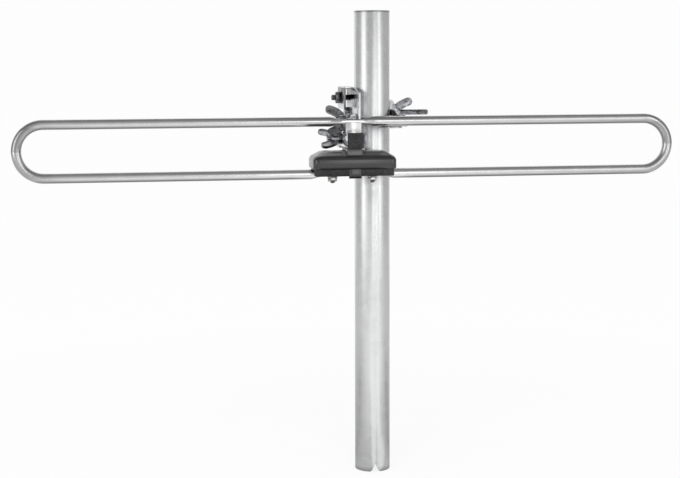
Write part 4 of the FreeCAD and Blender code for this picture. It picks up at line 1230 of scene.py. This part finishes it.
class ANTENNA_OT_terminals(AntennaOperator, bpy.types.Operator):
    """Terminal screws, washers and nuts, set out in pairs"""

    bl_idname = "antenna.terminals"
    bl_label = "Terminals"

    def execute(self, context):
        s = sizes()
        low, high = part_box("terminal_screws")
        head = s.screw_head_height
        radius = s.screw_head / 2
        thread = s.screw_diameter / 2
        upright = Matrix.Identity(4)
        sides = (low.x + radius, high.x - radius)
        mesh = bmesh.new()
        profile = [(radius, 0.0), (radius, head * 0.45), (radius * 0.86, head * 0.85),
                   (radius * 0.5, head), (radius * 0.2, head)]
        lathe(mesh, profile, upright)
        threaded(mesh, high.z - head - low.z, s.screw_diameter, s.screw_pitch, "plated_brass",
                 stood(Vector(), DOWN))
        self.pair("terminal_screws", mesh, sides, high.z - head, 0.08 * MM)
        low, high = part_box("terminal_nuts")
        mesh = bmesh.new()
        hexagon_head(mesh, s.screw_flats, high.z - low.z, upright, thread + THREAD_ROOM)
        self.pair("terminal_nuts", mesh, sides, low.z, 0.1 * MM)
        low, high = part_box("terminal_washers")
        mesh = bmesh.new()
        ring_washer(mesh, (high.y - low.y) / 2, thread + WASHER_ROOM, high.z - low.z, upright)
        self.pair("terminal_washers", mesh, sides, low.z, WASHER_EDGE)
        return {"FINISHED"}

    def pair(self, node, mesh, sides, height, bevel):
        """Two like pieces on the dipole's ends."""
        points = [(x, middle("dipole_loop").y, height) for x in sides]
        spread(node + "_finished", mesh, points, "plated_brass", [node], bevel)


class ANTENNA_OT_socket(AntennaOperator, bpy.types.Operator):
    """Coaxial socket with its thread, insulator and nut"""

    bl_idname = "antenna.socket"
    bl_label = "Coaxial Socket"

    def execute(self, context):
        s = sizes()
        low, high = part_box("coax_socket")
        nut_low, nut_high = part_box("coax_nut")
        flange = (high.x - low.x) / 2
        barrel = s.socket_diameter / 2
        neck = barrel + 0.2 * MM
        bore = s.socket_bore / 2
        rim = barrel * 0.82
        end = nut_high.y - low.y + 0.1 * MM
        tip = 0.4 * MM
        mesh = bmesh.new()
        body = [(barrel * 0.8, 0.0), (barrel, 0.0), (barrel, 2.0 * MM), (flange, 2.0 * MM),
                (flange, 4.0 * MM), (neck, 4.0 * MM), (neck, end), (barrel * 0.8, end)]
        lathe(mesh, body, self.seat(low.y), True)
        threaded(mesh, high.y - nut_high.y - tip, s.socket_diameter, s.socket_pitch,
                 "plated_brass", self.seat(nut_high.y))
        lip = [(rim, 0.0), (rim, 0.35 * MM), (bore + 0.5 * MM, 0.4 * MM), (bore, 0.2 * MM),
               (bore, -0.2 * MM), (rim, -0.2 * MM)]
        lathe(mesh, lip, self.seat(high.y - tip), True)
        piece("coax_socket_finished", mesh, "plated_brass", ["coax_socket"], bevel=0.06 * MM)
        mesh = bmesh.new()
        hexagon_head(mesh, nut_high.z - nut_low.z, nut_high.y - nut_low.y, self.seat(nut_low.y),
                     barrel + 0.25 * MM)
        piece("coax_nut_finished", mesh, "plated_brass", ["coax_nut"], bevel=0.1 * MM)
        return {"FINISHED"}

    def seat(self, y):
        """Matrix that stands a piece on the socket's axis."""
        centre = middle("coax_socket")
        return stood(Vector((centre.x, y, centre.z)), BACK)


class ANTENNA_OT_inside(AntennaOperator, bpy.types.Operator):
    """Finishes of the seal, the board, the core and the lugs inside the box"""

    bl_idname = "antenna.inside"
    bl_label = "Inside of the Box"

    def execute(self, context):
        slots = {"box_seal": "rubber_seal", "balun_board": "board_laminate",
                 "balun_core": "ferrite", "terminal_lugs": "plated_brass"}
        for node, slot in slots.items():
            data = frame["nodes"][node].data
            for index in range(len(data.materials)):
                data.materials[index] = named_finish(slot)
        return {"FINISHED"}


# Stage

SWEEP_SIDE = 7.0
SWEEP_FRONT = -7.0
SWEEP_BACK = 2.4
SWEEP_CURVE = 1.0
SWEEP_TOP = 5.0
SWEEP_DROP = 0.6 * MM  # under the mast's foot
LAMP_AIM = Vector((0.0, 0.0, 0.30))
OVERHEAD = 1.9
GROUND = -0.3 * MM

# Left, right, front and back edge, height, and shade at the front and at the back
LEVEL_CARDS = {
    "over front card": (-4.0, 4.0, -3.4, -0.6, OVERHEAD, 0.50, 0.26),
    "over card": (-4.0, 4.0, -0.6, 0.9, OVERHEAD, 0.24, 0.20),
    "under back card": (-0.32, 0.36, 0.05, 0.60, GROUND, 0.46, 0.85),
    "under left card": (-0.32, 0.06, -0.18, 0.05, GROUND, 0.92, 0.40),
    "under right card": (0.06, 0.36, -0.20, 0.05, GROUND, 0.95, 0.34),
    "outer left card": (-3.0, -0.32, -1.2, 1.1, GROUND, 0.78, 0.62),
    "outer right card": (0.36, 3.0, -1.2, 1.1, GROUND, 0.76, 0.60),
    "near floor card": (-0.12, 0.14, -0.60, -0.20, GROUND, 1.05, 1.15),
    "near strip card": (0.0, 0.06, -0.20, -0.018, GROUND + 0.2 * MM, 1.10, 0.85),
    "far floor card": (-0.60, 1.20, -3.0, -1.2, GROUND, 0.82, 0.86),
    # Painted shade: the under box card darkens what the mast mirrors just below the box.
    "under box card": (-0.062, 0.008, -0.12, -0.045, 0.288, 0.08, 0.08),
}


class ANTENNA_OT_stage(AntennaOperator, bpy.types.Operator):
    """Pale floor and backdrop, soft lamps and the camera"""

    bl_idname = "antenna.stage"
    bl_label = "Stage"

    def execute(self, context):
        self.sweep()
        self.world()
        self.lamps()
        self.cards()
        self.camera()
        context.scene.view_settings.view_transform = "Standard"
        return {"FINISHED"}

    def seen(self, tree):
        """One for rays from the camera and for those that mirror or pass through a surface."""
        path = add(tree, "ShaderNodeLightPath").outputs
        direct = calc(tree, "MAXIMUM", path["Is Camera Ray"], path["Is Glossy Ray"])
        return calc(tree, "MAXIMUM", direct, path["Is Transmission Ray"])

    def bare_finish(self, name):
        """New material without a shader, its tree and the socket for its surface."""
        material, tree, shader = finish(name)
        tree.nodes.remove(shader)
        return material, tree, tree.nodes["Material Output"].inputs["Surface"]

    def sweep(self):
        """Floor that curves up into a backdrop."""
        profile = [(SWEEP_FRONT, 0.0), (SWEEP_BACK, 0.0)]
        for step in range(1, 13):
            angle = math.pi / 2 * step / 12
            profile.append((SWEEP_BACK + SWEEP_CURVE * math.sin(angle),
                            SWEEP_CURVE - SWEEP_CURVE * math.cos(angle)))
        profile.append((SWEEP_BACK + SWEEP_CURVE, SWEEP_TOP))
        mesh = bmesh.new()
        rows = [[mesh.verts.new((x, y, z - SWEEP_DROP)) for x in (-SWEEP_SIDE, SWEEP_SIDE)]
                for y, z in profile]
        for near, far in zip(rows, rows[1:]):
            mesh.faces.new((near[0], near[1], far[1], far[0]))
        data = plain("sweep", mesh)
        data.shade_smooth()
        material, tree, surface = self.bare_finish("pale_floor")
        paint = add(tree, "ShaderNodeBsdfDiffuse", {"Color": opaque(finishes().floor)})
        white = add(tree, "ShaderNodeEmission", {"Color": WHITE, "Strength": 1.0})
        away = add(tree, "ShaderNodeVectorMath", {0: own_place(tree)}, operation="LENGTH")
        fade = ranged(tree, away.outputs["Value"], 0.86, 0.96, 0.05, 0.80)
        share = times(tree, self.seen(tree), fade)
        mix = add(tree, "ShaderNodeMixShader", {0: share, 1: paint.outputs[0], 2: white.outputs[0]})
        tree.links.new(mix.outputs[0], surface)
        data.materials.append(material)
        obj = linked("sweep", data)

    def world(self):
        """Even light from all round, seen as white."""
        world = bpy.data.worlds.new("studio")
        bpy.context.scene.world = world
        world.use_nodes = True
        tree = world.node_tree
        soft = tree.nodes["Background"]
        soft.inputs["Color"].default_value = WHITE
        soft.inputs["Strength"].default_value = bpy.context.scene.antenna_stage.fill
        white = add(tree, "ShaderNodeBackground", {"Color": WHITE, "Strength": 1.0})
        mix = add(tree, "ShaderNodeMixShader",
                  {0: self.seen(tree), 1: soft.outputs[0], 2: white.outputs[0]})
        tree.links.new(mix.outputs[0], tree.nodes["World Output"].inputs["Surface"])

    def lamp(self, name, place, width, height, power, mirrored=True):
        """Soft rectangular lamp turned to the antenna, which polished surfaces may mirror."""
        light = bpy.data.lights.new(name, "AREA")
        light.shape = "RECTANGLE"
        light.size = width
        light.size_y = height
        light.energy = power
        obj = linked(name, light)
        obj.location = place
        obj.rotation_euler = (LAMP_AIM - Vector(place)).to_track_quat("-Z", "Y").to_euler()
        obj.visible_glossy = mirrored

    def lamps(self):
        """One large lamp over the camera and a tall one at each side."""
        stage = bpy.context.scene.antenna_stage
        self.lamp("key", (-0.5, -1.9, 1.75), 2.0, 1.1, stage.key_power, mirrored=False)
        self.lamp("left strip", (-1.72, -0.80, 0.70), 0.85, 1.6, stage.side_power)
        self.lamp("right strip", (1.25, -1.50, 0.70), 0.50, 1.6, stage.side_power * 0.6)

    def card(self, name, corners, near, far):
        """Card that only polished surfaces mirror, shaded from its first edge to its last."""
        mesh = bpy.data.meshes.new(name)
        mesh.from_pydata(corners, [], [(0, 1, 2, 3)])
        run = mesh.uv_layers.new(name="run")
        for loop, share in zip(run.data, (0.0, 0.0, 1.0, 1.0)):
            loop.uv = (share, 0.0)
        material, tree, surface = self.bare_finish(name)
        share = parts(tree, add(tree, "ShaderNodeUVMap", uv_map="run").outputs[0])[0]
        shade = blended(tree, share, opaque([near] * 3), opaque([far] * 3))
        glow = add(tree, "ShaderNodeEmission", {"Color": shade, "Strength": 1.0})
        tree.links.new(glow.outputs[0], surface)
        mesh.materials.append(material)
        obj = linked(name, mesh)
        obj.visible_camera = False
        obj.visible_diffuse = False
        obj.visible_shadow = False
        obj.visible_transmission = False

    def cards(self):
        """Grey cards over, under, beside and before the antenna."""
        for name, (x0, x1, y0, y1, z, near, far) in LEVEL_CARDS.items():
            self.card(name, [(x0, y0, z), (x1, y0, z), (x1, y1, z), (x0, y1, z)], near, far)
        for name, x, y0, y1, z, shade in (("left card", -2.2, -0.35, 2.4, 2.0, 0.50),
                                          ("right card", 2.2, -1.1, 2.4, 2.0, 0.50)):
            self.card(name, [(x, y0, 0.0), (x, y0, z), (x, y1, z), (x, y1, 0.0)], shade, shade)
        for name, x0, x1, y, z, near, far in (("front card", -2.5, 0.10, -2.9, 1.9, 0.70, 0.50),
                                              ("front window", 0.30, 0.60, -2.9, 1.6, 2.8, 2.8)):
            self.card(name, [(x0, y, 0.0), (x1, y, 0.0), (x1, y, z), (x0, y, z)], near, far)

    def camera(self):
        """Camera at the photograph's angle."""
        stage = bpy.context.scene.antenna_stage
        yaw, pitch, roll = stage.camera_yaw, stage.camera_pitch, stage.camera_roll
        ahead = Vector((math.sin(yaw) * math.cos(pitch), math.cos(yaw) * math.cos(pitch),
                        -math.sin(pitch)))
        level_right = Vector((math.cos(yaw), -math.sin(yaw), 0.0))
        level_up = level_right.cross(ahead)
        right = level_right * math.cos(roll) + level_up * math.sin(roll)
        up = level_up * math.cos(roll) - level_right * math.sin(roll)
        camera = bpy.data.cameras.new("camera")
        camera.sensor_width = 36.0
        camera.lens = stage.camera_lens
        obj = linked("camera", camera)
        facing = Matrix((right, up, -ahead)).transposed().to_4x4()
        obj.matrix_world = Matrix.Translation(stage.camera_place) @ facing
        bpy.context.scene.camera = obj


class ANTENNA_PT_pieces(bpy.types.Panel):
    """List of the antenna's pieces"""

    bl_label = "Antenna"
    bl_idname = "ANTENNA_PT_pieces"
    bl_space_type = "VIEW_3D"
    bl_region_type = "UI"
    bl_category = "Antenna"

    def draw(self, context):
        for operator in OPERATORS:
            self.layout.operator(operator.bl_idname)


OPERATORS = (
    ANTENNA_OT_mast, ANTENNA_OT_dipole, ANTENNA_OT_boom, ANTENNA_OT_box, ANTENNA_OT_clamp,
    ANTENNA_OT_bolts, ANTENNA_OT_washers, ANTENNA_OT_wing_nuts, ANTENNA_OT_terminals,
    ANTENNA_OT_socket, ANTENNA_OT_inside, ANTENNA_OT_stage,
)
GROUPS = {
    "antenna_sizes": AntennaSizes,
    "antenna_finishes": AntennaFinishes,
    "antenna_stage": AntennaStage,
}


def register():
    """Makes the properties, operators and panel known."""
    for name, group in GROUPS.items():
        bpy.utils.register_class(group)
        setattr(bpy.types.Scene, name, bpy.props.PointerProperty(type=group))
    for operator in OPERATORS:
        bpy.utils.register_class(operator)
    bpy.utils.register_class(ANTENNA_PT_pieces)


def unregister():
    """Takes back what register made known."""
    bpy.utils.unregister_class(ANTENNA_PT_pieces)
    for operator in reversed(OPERATORS):
        bpy.utils.unregister_class(operator)
    for name, group in GROUPS.items():
        delattr(bpy.types.Scene, name)
        bpy.utils.unregister_class(group)


def main():
    """Builds every piece in order."""
    register()
    for operator in OPERATORS:
        group, name = operator.bl_idname.split(".")
        getattr(getattr(bpy.ops, group), name)()


if __name__ == "__main__":
    main()
